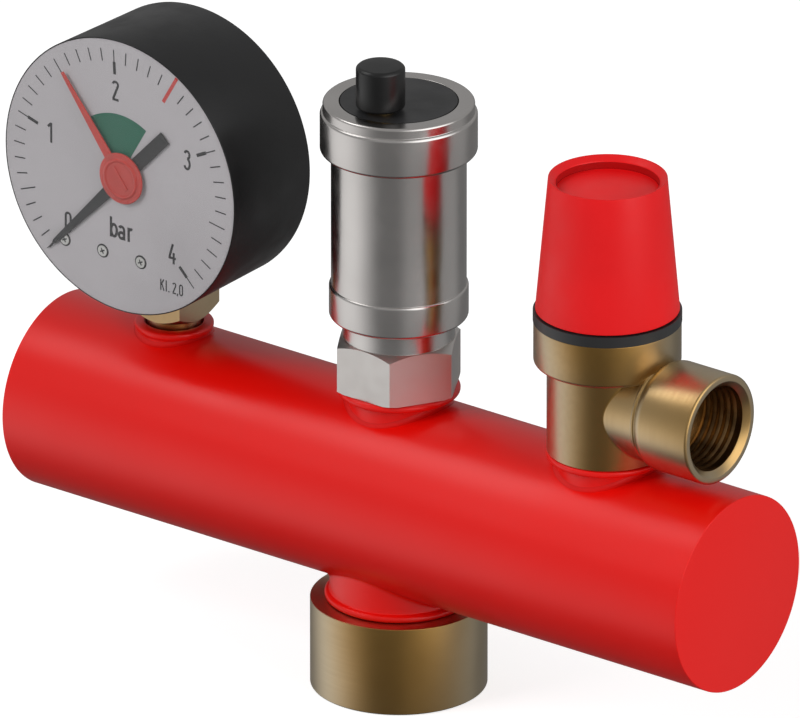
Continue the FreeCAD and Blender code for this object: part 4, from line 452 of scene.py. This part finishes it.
def make_base():
    neck = spun([
        (NECK_BORE, 15.6), (NECK_RADIUS, 15.6), (NECK_RADIUS, 20.25), (16.15, 20.25, 0.6),
        (16.15, 21.85, 0.75), (NECK_RADIUS, 21.85, 0.4), (NECK_RADIUS, 33.0), (NECK_BORE, 33.0),
    ])
    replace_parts(piece("neck_with_bead", neck, "pipe_red"), "base_neck")
    upside_down = Matrix.Rotation(pi, 4, "X")
    round_crossing("base_neck_seam", NECK_RADIUS, PIPE_RADIUS, SEAM_FILLET, "pipe_red",
                   at(z=PIPE_Z, turn=upside_down))
    muff = spun([
        (16.3, 0, 0.15), (19.3, 0, 0.3), (19.3, 20.2, 0.18), (15.1, 20.2), (15.1, 15.5),
        (12.45, 15.5), (12.45, 14.0), (15.15, 14.0), (15.15, 1.2),
    ])
    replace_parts(piece("threaded_muff", muff, "muff_brass"), "base_muff")
    thread_in("muff_thread", 15.2, 1.3, 13.6, MUFF_THREAD_PITCH, "muff_brass", UPRIGHT)


def thread_in(name, radius, start, end, pitch, finish, place, share=0.36):
    """Female pipe thread: a ridge of rounded crests that winds round inside the bore."""
    mesh = bmesh.new()
    depth = pitch * share
    corners = [mesh.verts.new((radius - depth * reach, 0, start + pitch * rise))
               for reach, rise in ((0, 0.02), (0.75, 0.36), (0.95, 0.5), (0.75, 0.64), (0, 0.98))]
    for pair in zip(corners, corners[1:]):
        mesh.edges.new(pair)
    turns = (end - start) / pitch - 1
    bmesh.ops.spin(mesh, geom=mesh.verts[:] + mesh.edges[:], cent=(0, 0, 0), axis=(0, 0, 1),
                   dvec=(0, 0, pitch / 72), angle=2 * pi * turns, steps=int(72 * turns))
    bmesh.ops.recalc_face_normals(mesh, faces=mesh.faces)
    bmesh.ops.reverse_faces(mesh, faces=mesh.faces)
    piece(name, mesh, finish, place=place, sharp=80)


# Gauge
def make_case():
    inside = CASE_RADIUS - CASE_LIP
    case = spun([
        (0, 0), (CASE_BACK_RADIUS, 0, 0.6), (CASE_RADIUS, CASE_DEPTH, 0.15), (inside, CASE_DEPTH, 0.1),
        (inside, DIAL_FRONT - DIAL_THICK), (CASE_BORE, DIAL_FRONT - DIAL_THICK),
        (CASE_BORE, CASE_FLOOR), (0, CASE_FLOOR),
    ], steps=256)
    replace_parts(piece("case_shell", case, "case_black", place=gauge_place()), "gauge_case")
    outer = inside - 0.06
    window = spun([
        (0, WINDOW_FRONT), (outer - 1.2, WINDOW_FRONT, 0.5), (outer, WINDOW_FRONT - 1.2, 0.5),
        (outer, DIAL_FRONT + 0.6), (outer - 0.4, DIAL_FRONT + 0.6), (outer - 0.4, WINDOW_FRONT - 1.4, 0.3),
        (outer - 1.4, WINDOW_FRONT - WINDOW_THICK, 0.2), (0, WINDOW_FRONT - WINDOW_THICK),
    ], steps=192)
    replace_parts(piece("window_cup", window, "window_clear", place=gauge_place()), "gauge_window")
    heads = bmesh.new()
    shade_crosses = bmesh.new()
    for u in (-5, 5):
        screw_head(heads, shade_crosses, (u, CASE_SCREW_W), 2.95, 0.02, 0.03)
    turned_round = gauge_place() @ Matrix.Rotation(pi, 4, "Y")
    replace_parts(piece("case_screw_heads", heads, "steel", place=turned_round), "case_screws")
    # The dark crosses are painted shade for the screws' cross recesses, drawn in the black rubber finish.
    piece("case_screw_shade_crosses", shade_crosses, "seal_rubber", place=turned_round)


def screw_head(heads, shade_crosses, centre, radius, low, high):
    """A flat round head, with a flat dark cross of painted shade where the driver's recess is."""
    u, w = centre
    disc = bmesh.ops.create_cone(heads, cap_ends=True, segments=48, radius1=radius, radius2=radius * 0.94,
                                 depth=high - low + 0.3)["verts"]
    bmesh.ops.translate(heads, verts=disc, vec=(u, w, (high + low) / 2 - 0.15))
    for turn in (25, 115):
        bar = bmesh.ops.create_cube(shade_crosses, size=1)["verts"]
        bmesh.ops.scale(shade_crosses, verts=bar, vec=(radius * 1.05, radius * 0.26, 0.01))
        swing(shade_crosses, bar, turn)
        bmesh.ops.translate(shade_crosses, verts=bar, vec=(u, w, high + 0.004))


def swing(mesh, verts, degrees):
    """Turns points about the middle of the dial's plane."""
    bmesh.ops.rotate(mesh, cent=(0, 0, 0), matrix=Matrix.Rotation(radians(degrees), 3, "Z"), verts=verts)


def tick(mesh, angle, inner, outer, width):
    """One printed stroke that points at the case's centre."""
    made = bmesh.ops.create_grid(mesh, x_segments=1, y_segments=1, size=0.5)["verts"]
    bmesh.ops.scale(mesh, vec=(outer - inner, width, 1), verts=made)
    bmesh.ops.translate(mesh, vec=((outer + inner) / 2, 0, PRINT_LIFT), verts=made)
    swing(mesh, made, angle)


def scale_angle(tenths):
    """The angle of a mark, between angles read off the photo. The dial starts at 0 with 0.2 next."""
    if tenths < 2:
        return 228.0
    knees = ((2, 222.0), (10, 163.75), (20, 93.25), (30, 26.0), (40, -46.0))
    for (low, start), (high, end) in zip(knees, knees[1:]):
        if tenths <= high:
            return start + (end - start) * (tenths - low) / (high - low)


def make_dial():
    """The dial plate, with the hole for the arbor beside its middle."""
    plate = bmesh.new()
    bmesh.ops.create_circle(plate, segments=256, radius=DIAL_RADIUS)
    hole = bmesh.ops.create_circle(plate, segments=256, radius=ARBOR_HOLE)["verts"]
    bmesh.ops.translate(plate, verts=hole, vec=(AXIS_U, 0, 0))
    faces = bmesh.ops.bridge_loops(plate, edges=plate.edges)["faces"]
    made = bmesh.ops.extrude_face_region(plate, geom=faces)["geom"]
    back = [item for item in made if isinstance(item, bmesh.types.BMVert)]
    bmesh.ops.translate(plate, verts=back, vec=(0, 0, -DIAL_THICK))
    bmesh.ops.recalc_face_normals(plate, faces=plate.faces)
    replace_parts(piece("dial_plate", plate, "dial_white", place=gauge_place(DIAL_FRONT)), "gauge_dial")


def make_print():
    """The scale, the red limit at 2.5 bar, the green working range from 1.5 bar, figures and screws."""
    limit_step = 25
    green_step = 15
    place = gauge_place(DIAL_FRONT)
    marks = bmesh.new()
    for step in [0, *range(2, 41)]:
        angle = scale_angle(step)
        if step % 10 == 0:
            tick(marks, angle, SCALE_TOP - 2.9, SCALE_TOP, 0.28)
            tick(marks, angle, SCALE_TOP - 5.7, SCALE_TOP - 2.8, 0.78)
        elif step % 5 == 0:
            if step != limit_step:
                tick(marks, angle, SCALE_TOP - 4.3, SCALE_TOP, 0.3)
        else:
            tick(marks, angle, SCALE_TOP - 2.95, SCALE_TOP, 0.3)
    piece("scale_marks", marks, "dial_ink", place=place)
    limit = bmesh.new()
    tick(limit, scale_angle(limit_step), 23.75, 31.3, 0.85)
    piece("limit_mark", limit, "dial_red", place=place)
    zone = bmesh.new()
    hub = zone.verts.new((0, 0, PRINT_LIFT))
    end = zone.verts.new((14.45, 0, PRINT_LIFT))
    edge = zone.edges.new((hub, end))
    low, high = scale_angle(limit_step), scale_angle(green_step)
    swing(zone, zone.verts, low)
    bmesh.ops.spin(zone, geom=[hub, end, edge], cent=(0, 0, 0), axis=(0, 0, 1),
                   angle=radians(high - low), steps=48)
    bmesh.ops.remove_doubles(zone, verts=zone.verts, dist=0.0005)
    bmesh.ops.recalc_face_normals(zone, faces=zone.faces)
    piece("working_range", zone, "dial_green", place=place)
    for name, runs, u, w, size, width in (
        ("figure_0", zero_runs(), -14.39, -14.51, 1.0, 0.6),
        ("figure_1", one_runs(), -19.3, 5.33, 1.0, 0.6),
        ("figure_2", two_runs(), -1.15, 19.75, 1.0, 0.6),
        ("figure_3", three_runs(), 18.6, 8.55, 1.0, 0.6),
        ("figure_4", four_runs(), 14.39, -14.53, 1.0, 0.6),
        ("unit_bar", bar_runs(), 0.4, -12.5, 1.06, 0.68),
        ("class_mark", class_runs(), 14.35, -22.5, 0.56, 0.36),
    ):
        lettering(name, runs, u, w, size, width)
    rings = bmesh.new()
    heads = bmesh.new()
    shade_crosses = bmesh.new()
    for number in range(3):
        centre = (DIAL_SCREW_U + number * DIAL_SCREW_STEP, DIAL_SCREW_W)
        # A dark ring round each screw head is painted shade at the head's edge.
        ring = bmesh.ops.create_circle(rings, cap_ends=True, segments=48, radius=1.6)["verts"]
        bmesh.ops.translate(rings, verts=ring, vec=(*centre, 0.015))
        screw_head(heads, shade_crosses, centre, 1.3, 0.03, 0.2)
    piece("dial_screw_shade_rings", rings, "dial_ink", place=place)
    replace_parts(piece("dial_screw_heads", heads, "steel", place=place), "dial_screws")
    # The dark crosses are painted shade for the screws' cross recesses, drawn in the ink.
    piece("dial_screw_shade_crosses", shade_crosses, "dial_ink", place=place)


def arc(u, w, wide, high, start, end, count=14):
    """Points along an ellipse from one angle to another, in degrees."""
    points = []
    for step in range(count + 1):
        angle = radians(start + (end - start) * step / count)
        points.append((u + wide * cos(angle), w + high * sin(angle)))
    return points


# Figures, each a list of strokes by their middle lines, about 4.8 mm high and narrow
def zero_runs():
    upper = arc(0, 1.4, 0.68, 0.75, 0, 180)
    lower = arc(0, -1.4, 0.68, 0.75, 180, 360)
    return [upper + lower + upper[:1]]


def one_runs():
    return [[(0.3, 2.35), (0.3, -2.35)], [(-0.62, 1.28), (0.22, 2.12)]]


def two_runs():
    return [arc(0, 1.4, 0.7, 0.7, 168, -22) + [(-0.66, -2.02)], [(-0.85, -2.08), (0.85, -2.08)]]


def three_runs():
    return [arc(-0.05, 1.22, 0.68, 0.88, 158, -82), arc(-0.05, -0.88, 0.74, 1.2, 86, -158)]


def four_runs():
    return [[(0.2, 2.35), (-0.78, -0.95)], [(-1.0, -0.98), (1.0, -0.98)], [(0.4, 0.3), (0.4, -2.35)]]


def bar_runs():
    runs = [[(-2.75, 2.3), (-2.75, -2.2)], arc(-1.98, -0.6, 0.74, 1.32, 180, -180, 24)]
    runs += [arc(0.0, 0.02, 0.66, 0.66, 155, 0) + [(0.66, -2.2)], arc(-0.02, -1.28, 0.66, 0.66, 0, 360, 20)]
    runs += [[(1.85, 0.95), (1.85, -2.2)], arc(2.6, 0.0, 0.72, 0.68, 175, 70)]
    return runs


def class_runs():
    """Accuracy class 2,0."""
    runs = [[(-5.6, 2.35), (-5.6, -2.35)], [(-4.1, 2.35), (-5.5, -0.1)], [(-5.1, 0.5), (-4.0, -2.35)]]
    runs += [[(-2.9, 2.35), (-2.9, -2.35)], [(-1.6, -1.8), (-1.6, -2.35)]]
    runs += [[(u + 1.1, w) for u, w in run] for run in two_runs()]
    runs += [[(2.75, -1.75), (2.5, -2.9)]]
    runs += [[(u + 4.4, w) for u, w in run] for run in zero_runs()]
    return runs


def lettering(name, runs, u, w, size, width):
    """Figures printed on the dial with even strokes."""
    curve = bpy.data.curves.new(name, "CURVE")
    curve.dimensions = "3D"
    curve.bevel_depth = width / 2
    curve.bevel_resolution = 2
    curve.use_fill_caps = True
    for run in runs:
        spline = curve.splines.new("POLY")
        spline.points.add(len(run) - 1)
        for point, (across, up) in zip(spline.points, run):
            point.co = (across * size, up * size, 0, 1)
    carrier = bpy.data.objects.new(name, curve)
    scene.collection.objects.link(carrier)
    bpy.context.view_layer.update()
    data = bpy.data.meshes.new_from_object(carrier)
    bpy.data.objects.remove(carrier)
    mesh = bmesh.new()
    mesh.from_mesh(data)
    bmesh.ops.scale(mesh, verts=mesh.verts, vec=(1, 1, 0.03 / width))
    bmesh.ops.translate(mesh, verts=mesh.verts, vec=(u, w, 0.008))
    piece(name, mesh, "dial_ink", place=gauge_place(DIAL_FRONT))


def flat_blade(mesh, outline, low, high):
    """A flat blade from its outline in the dial's plane."""
    corners = [mesh.verts.new((u, w, low)) for u, w in outline]
    face = mesh.faces.new(corners)
    made = bmesh.ops.extrude_face_region(mesh, geom=[face])["geom"]
    top = [item for item in made if isinstance(item, bmesh.types.BMVert)]
    bmesh.ops.translate(mesh, verts=top, vec=(0, 0, high - low))
    return corners + top


def make_pointers():
    blade = bmesh.new()
    verts = flat_blade(blade, [
        (-17.1, -1.55), (-4.5, -1.6), (3, -1.45), (27.2, -0.58), (27.9, -0.3), (28.2, -0.16),
        (30.25, -0.1), (30.25, 0.1), (28.2, 0.16), (27.9, 0.3), (27.2, 0.58), (3, 1.45), (-4.5, 1.6),
        (-17.1, 1.55),
    ], 0.32, 0.56)
    swing(blade, verts, POINTER_ANGLE)
    bmesh.ops.translate(blade, verts=blade.verts, vec=(AXIS_U, 0, 0))
    bmesh.ops.recalc_face_normals(blade, faces=blade.faces)
    made = piece("black_pointer", blade, "pointer_black", "arbor", gauge_place(DIAL_FRONT), sharp=30)
    bevelled(made, 0.08)
    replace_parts(made, "gauge_pointer")
    marker = spun([
        (0, 0.68), (5.85, 0.68, 0.1), (5.85, 1.1, 0.15), (4.72, 1.12, 0.1), (4.45, 1.42, 0.12),
        (4.1, 1.45, 0.1), (3.8, 1.25, 0.1), (0, 1.25),
    ], steps=96)
    verts = flat_blade(marker, [(2, -1.3), (26.4, -0.42), (26.4, 0.42), (2, 1.3)], 0.7, 1.02)
    verts += flat_blade(marker, [(-2.9, -0.5), (2.9, -0.5), (2.9, 0.5), (-2.9, 0.5)], 1.2, 1.5)
    swing(marker, verts, SET_POINTER_ANGLE)
    bmesh.ops.translate(marker, verts=marker.verts, vec=(AXIS_U, 0, 0))
    bmesh.ops.recalc_face_normals(marker, faces=marker.faces)
    made = piece("red_marker", marker, "set_pointer_red", "set_pointer", gauge_place(DIAL_FRONT),
                 sharp=35)
    bevelled(made, 0.1)
    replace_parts(made, "set_pointer")


def bevelled(made, width):
    edges = made.modifiers.new("edges", "BEVEL")
    edges.width = width * MM
    edges.segments = 2
    edges.limit_method = "ANGLE"
    edges.angle_limit = radians(30)
    edges.harden_normals = True


# Air vent
def make_vent():
    body = spun([
        (3.0, 74.0), (8.28, 74.0), (8.28, 81.8), (12.25, 81.8), (12.25, 86.4, 0.2),
        (14.55, 86.4, 0.25), (15.15, 87.0, 0.3), (15.15, 93.65, 0.25), (14.9, 94.0, 0.15),
        (14.7, 94.0, 0.1), (14.7, 125.0), (14.0, 125.0), (14.0, 131.0), (12.7, 131.0), (12.7, 87.6),
        (3.0, 87.6),
    ], steps=192)
    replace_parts(piece("float_chamber", body, "nickel"), "vent_body")
    head = spun([
        (14.05, 125.0), (16.6, 125.0, 0.25), (17.1, 125.5, 0.3), (17.1, 133.7, 0.25),
        (16.75, 134.1, 0.15), (16.5, 134.15, 0.12), (16.5, 136.1, 0.2), (16.1, 136.5, 0.25),
        (12.95, 136.5, 0.15), (12.95, 134.0), (11.5, 134.0), (11.5, 132.6), (14.05, 132.6),
    ], steps=192)
    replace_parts(piece("screwed_head", head, "nickel"), "vent_head")
    cap = spun([
        (3.05, 137.3), (5.05, 137.3, 0.15), (5.35, 137.65, 0.2), (5.35, 146.2, 0.2), (4.75, 146.8, 0.3),
        (0, 146.8), (0, 144.6), (3.05, 144.6),
    ], steps=96)
    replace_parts(piece("bleed_cap", cap, "cap_black", "cap", at(0, CAP_Y, 0)), "vent_cap")


# Safety valve
def make_valve():
    sideways = at(VALVE_X, 0, OUTLET_Z, ALONG_PIPE)
    body = spun([
        (5.5, 59.8), (8.28, 59.8), (8.28, 69.9), (13.1, 69.9, 0.2), (13.1, 90.4, 0.8), (16.0, 90.4, 0.9),
        (16.0, 100.1, 0.2), (14.0, 100.1), (14.0, 93.0), (11.0, 93.0), (11.0, 76.0), (7.0, 76.0),
        (7.0, 84.0), (5.5, 84.0),
    ], steps=192)
    outlet = spun([
        (8.5, 9.4), (10.4, 6.6), (10.9, 6.6), (10.95, 14.6, 0.1), (11.2, 14.9, 0.12), (11.2, 15.3, 0.12),
        (11.0, 15.6, 0.12), (12.3, 17.1, 0.9), (12.3, 30.7, 0.6), (10.75, 30.7, 0.15), (9.5, 29.4, 0.1),
        (9.5, 17.6), (8.5, 17.6),
    ], steps=160)
    # The bore and its thread take a darkened brass: painted shade deep inside the outlet.
    bore = spun([(8.5, 9.4), (8.5, 17.4), (9.48, 17.4), (9.48, 29.4)], closed=False, steps=160)
    bmesh.ops.reverse_faces(bore, faces=bore.faces)
    piece("outlet_bore", bore, "bore_brass_painted_shade", place=sideways)
    piece("outlet_sleeve", outlet, "outlet_brass", place=sideways)
    thread_in("outlet_thread", 9.5, 18.5, 28.9, OUTLET_THREAD_PITCH, "bore_brass_painted_shade", sideways,
              0.2)
    round_crossing("outlet_seam", 10.9, 13.1, 0.9, "valve_brass", sideways)
    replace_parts(piece("valve_casting", body, "valve_brass", place=at(VALVE_X)), "valve_body")
    knob = spun([
        (13.9, 102.8), (15.63, 102.8, 0.15), (12.88, 133.4, 0.25), (11.17, 132.2, 0.3),
        (11.17, 130.0), (3.4, 130.0), (3.4, 126.6), (11.6, 126.6),
    ], steps=192)
    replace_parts(piece("knob_cone", knob, "knob_red", "knob", at(VALVE_X)), "valve_knob")
    # The disc's red is painted light: a brighter copy of the knob's red that stands in for the light the
    # recess keeps off it.
    plug = spun([(0, 129.4), (11.1, 129.4), (11.1, 130.6, 0.12), (0, 130.75)], steps=128)
    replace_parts(piece("knob_disc", plug, "knob_red_painted_light", "knob", at(VALVE_X)), "knob_plug")
    # A thin darker ring just inside the recess wall is painted shade: it stands in for the shadow on that
    # wall.
    wall = spun([(11.12, 130.4), (11.16, 130.4), (11.16, 132.1), (11.12, 132.1)], steps=192)
    piece("knob_recess_painted_shade", wall, "painted_shade_red", "knob", at(VALVE_X))


make_pipe()
make_collar("gauge_socket", GAUGE_X, 69.0, 8.7, 7.8, 6.45)
make_collar("vent_socket", 0, 70.1, 13.45, 11.1, 8.38)
make_collar("valve_socket", VALVE_X, 69.9, 13.3, 11.0, 8.38)
make_base()
make_case()
make_dial()
make_print()
make_pointers()
make_vent()
make_valve()


# Studio
def ramp(nodes, stops):
    """A ramp of grey levels from pairs of position and level."""
    made = nodes.new("ShaderNodeValToRGB")
    elements = made.color_ramp.elements
    elements.remove(elements[-1])
    for number, (position, level) in enumerate(stops):
        stop = elements[0] if number == 0 else elements.new(position)
        stop.position = position
        stop.color = (level, level, level, 1)
    return made


def bright_patch(nodes, links, direction, towards, edge, level):
    """A soft round light in the mirrored studio, from its edge's cosine to its level."""
    aim = nodes.new("ShaderNodeVectorMath")
    aim.operation = "DOT_PRODUCT"
    aim.inputs[1].default_value = Vector(towards).normalized()
    links.new(direction, aim.inputs[0])
    patch = nodes.new("ShaderNodeMapRange")
    patch.interpolation_type = "SMOOTHSTEP"
    patch.inputs["From Min"].default_value = edge
    patch.inputs["From Max"].default_value = 1 - (1 - edge) * 0.1
    patch.inputs["To Max"].default_value = level
    links.new(aim.outputs["Value"], patch.inputs["Value"])
    return patch.outputs["Result"]


def wall(nodes, links, around, middle, flat, fade, level):
    """An upright wall of light in the mirrored studio: its middle, half width and soft edge in degrees."""
    off = nodes.new("ShaderNodeMath")
    off.operation = "SUBTRACT"
    off.inputs[1].default_value = middle
    links.new(around, off.inputs[0])
    aside = nodes.new("ShaderNodeMath")
    aside.operation = "ABSOLUTE"
    links.new(off.outputs["Value"], aside.inputs[0])
    share = nodes.new("ShaderNodeMapRange")
    share.interpolation_type = "SMOOTHSTEP"
    share.inputs["From Min"].default_value = flat
    share.inputs["From Max"].default_value = flat + fade
    share.inputs["To Min"].default_value = level
    share.inputs["To Max"].default_value = 0
    links.new(aside.outputs["Value"], share.inputs["Value"])
    return share.outputs["Result"]


def added(nodes, links, first, second):
    total = nodes.new("ShaderNodeMath")
    for socket, value in zip(total.inputs, (first, second)):
        if isinstance(value, float):
            socket.default_value = value
        else:
            links.new(value, socket)
    return total.outputs["Value"]


def studio_world():
    """White behind the object, and for gloss a soft studio: bright to the left, darker in front."""
    world = bpy.data.worlds.new("studio")
    scene.world = world
    world.use_nodes = True
    nodes = world.node_tree.nodes
    links = world.node_tree.links
    nodes.clear()
    direction = nodes.new("ShaderNodeTexCoord").outputs["Generated"]
    turn = nodes.new("ShaderNodeMapping")
    turn.inputs["Rotation"].default_value = (0, 0, radians(52))
    links.new(direction, turn.inputs["Vector"])
    round_about = nodes.new("ShaderNodeTexGradient")
    round_about.gradient_type = "RADIAL"
    links.new(turn.outputs["Vector"], round_about.inputs["Vector"])
    around = nodes.new("ShaderNodeMath")
    around.operation = "MULTIPLY"
    around.inputs[1].default_value = 360
    links.new(round_about.outputs["Fac"], around.inputs[0])
    left_wall = wall(nodes, links, around.outputs["Value"], 88, 6, 58, 0.77)
    right_wall = wall(nodes, links, around.outputs["Value"], 242, 42, 25, 0.16)
    walls = added(nodes, links, added(nodes, links, left_wall, right_wall), 0.19)
    parts = nodes.new("ShaderNodeSeparateXYZ")
    links.new(direction, parts.inputs["Vector"])
    height = nodes.new("ShaderNodeMapRange")
    height.inputs["From Min"].default_value = -1
    height.inputs["From Max"].default_value = 1
    links.new(parts.outputs["Z"], height.inputs["Value"])
    wall_share = ramp(nodes, (
        (0.12, 0.0), (0.15, 0.15), (0.2, 0.6), (0.25, 1.0), (0.39, 1.0), (0.5, 0.45), (0.6, 0.1),
        (0.7, 0.0),
    ))
    links.new(height.outputs["Result"], wall_share.inputs["Fac"])
    ends = ramp(nodes, ((0.15, 0.07), (0.3, 0.25), (0.55, 0.36), (1.0, 0.38)))
    links.new(height.outputs["Result"], ends.inputs["Fac"])
    room = colour_mix(nodes)
    links.new(wall_share.outputs["Color"], room.inputs["Factor"])
    links.new(ends.outputs["Color"], room.inputs["A"])
    links.new(walls, room.inputs["B"])
    softbox = bright_patch(nodes, links, direction, (-0.566, -0.26, 0.78), 0.95, 2.3)
    side_light = bright_patch(nodes, links, direction, (0.91, -0.02, 0.4), 0.72, 1.6)
    lit_room = colour_mix(nodes, "ADD")
    lit_room.inputs["Factor"].default_value = 1
    links.new(room.outputs["Result"], lit_room.inputs["A"])
    links.new(added(nodes, links, softbox, side_light), lit_room.inputs["B"])
    rays = nodes.new("ShaderNodeLightPath")
    gloss = nodes.new("ShaderNodeMath")
    gloss.operation = "MAXIMUM"
    links.new(rays.outputs["Is Glossy Ray"], gloss.inputs[0])
    links.new(rays.outputs["Is Transmission Ray"], gloss.inputs[1])
    soft = nodes.new("ShaderNodeBackground")
    soft.inputs["Color"].default_value = (1, 1, 1, 1)
    soft.inputs["Strength"].default_value = 0.36
    mirrored = nodes.new("ShaderNodeBackground")
    links.new(lit_room.outputs["Result"], mirrored.inputs["Color"])
    white = nodes.new("ShaderNodeBackground")
    white.inputs["Color"].default_value = (1, 1, 1, 1)
    first = nodes.new("ShaderNodeMixShader")
    links.new(gloss.outputs["Value"], first.inputs["Fac"])
    links.new(soft.outputs["Background"], first.inputs[1])
    links.new(mirrored.outputs["Background"], first.inputs[2])
    second = nodes.new("ShaderNodeMixShader")
    links.new(rays.outputs["Is Camera Ray"], second.inputs["Fac"])
    links.new(first.outputs["Shader"], second.inputs[1])
    links.new(white.outputs["Background"], second.inputs[2])
    output = nodes.new("ShaderNodeOutputWorld")
    links.new(second.outputs["Shader"], output.inputs["Surface"])


def studio_floor():
    """A pale floor that keeps the shadow and is white to the camera."""
    mesh = bmesh.new()
    bmesh.ops.create_grid(mesh, x_segments=1, y_segments=1, size=30)
    data = bpy.data.meshes.new("floor")
    mesh.to_mesh(data)
    mesh.free()
    paint = bpy.data.materials.new("floor_white")
    paint.use_nodes = True
    nodes = paint.node_tree.nodes
    links = paint.node_tree.links
    nodes.clear()
    lit = nodes.new("ShaderNodeBsdfDiffuse")
    lit.inputs["Color"].default_value = (0.5, 0.5, 0.5, 1)
    glow = nodes.new("ShaderNodeEmission")
    rays = nodes.new("ShaderNodeLightPath")
    seen = nodes.new("ShaderNodeMath")
    seen.operation = "MULTIPLY"
    seen.inputs[1].default_value = 0.76
    links.new(rays.outputs["Is Camera Ray"], seen.inputs[0])
    links.new(seen.outputs["Value"], glow.inputs["Strength"])
    both = nodes.new("ShaderNodeAddShader")
    links.new(lit.outputs["BSDF"], both.inputs[0])
    links.new(glow.outputs["Emission"], both.inputs[1])
    output = nodes.new("ShaderNodeOutputMaterial")
    links.new(both.outputs["Shader"], output.inputs["Surface"])
    data.materials.append(paint)
    floor = bpy.data.objects.new("floor", data)
    scene.collection.objects.link(floor)
    floor.location.z = -0.0002
    floor.visible_glossy = False


def soft_lamp(name, azimuth, elevation, power, size):
    """A square lamp aimed at the object, its azimuth counted from the right-hand end of the pipe."""
    reach = 1.7
    middle = Vector((0, 0, 0.08))
    lamp = bpy.data.lights.new(name, "AREA")
    lamp.energy = power
    lamp.size = size
    holder = bpy.data.objects.new(name, lamp)
    scene.collection.objects.link(holder)
    out = Vector((cos(radians(azimuth)) * cos(radians(elevation)),
                  sin(radians(azimuth)) * cos(radians(elevation)), sin(radians(elevation))))
    holder.location = middle + out * reach
    holder.rotation_euler = (-out).to_track_quat("-Z", "Y").to_euler()
    holder.visible_glossy = False


def photo_camera():
    """The photo's direction, from so far away that depth hardly changes sizes."""
    camera = bpy.data.cameras.new("photo_camera")
    camera.lens = 1560
    camera.sensor_width = 36
    camera.clip_end = 100
    holder = bpy.data.objects.new("photo_camera", camera)
    scene.collection.objects.link(holder)
    scene.camera = holder
    azimuth = radians(38.0)
    elevation = radians(23.1)
    back = Vector((sin(azimuth) * cos(elevation), -cos(azimuth) * cos(elevation), sin(elevation)))
    target = Vector((0.0002, 0.00016, 0.0758))
    distance = PHOTO_WIDTH / PHOTO_SCALE * MM * camera.lens / camera.sensor_width
    holder.location = target + back * distance
    holder.rotation_mode = "QUATERNION"
    holder.rotation_quaternion = (-back).to_track_quat("-Z", "Y")


studio_world()
studio_floor()
soft_lamp("key_lamp", -122, 33, 15.3, 0.9)
soft_lamp("right_lamp", -7, 14, 16.6, 0.9)
photo_camera()
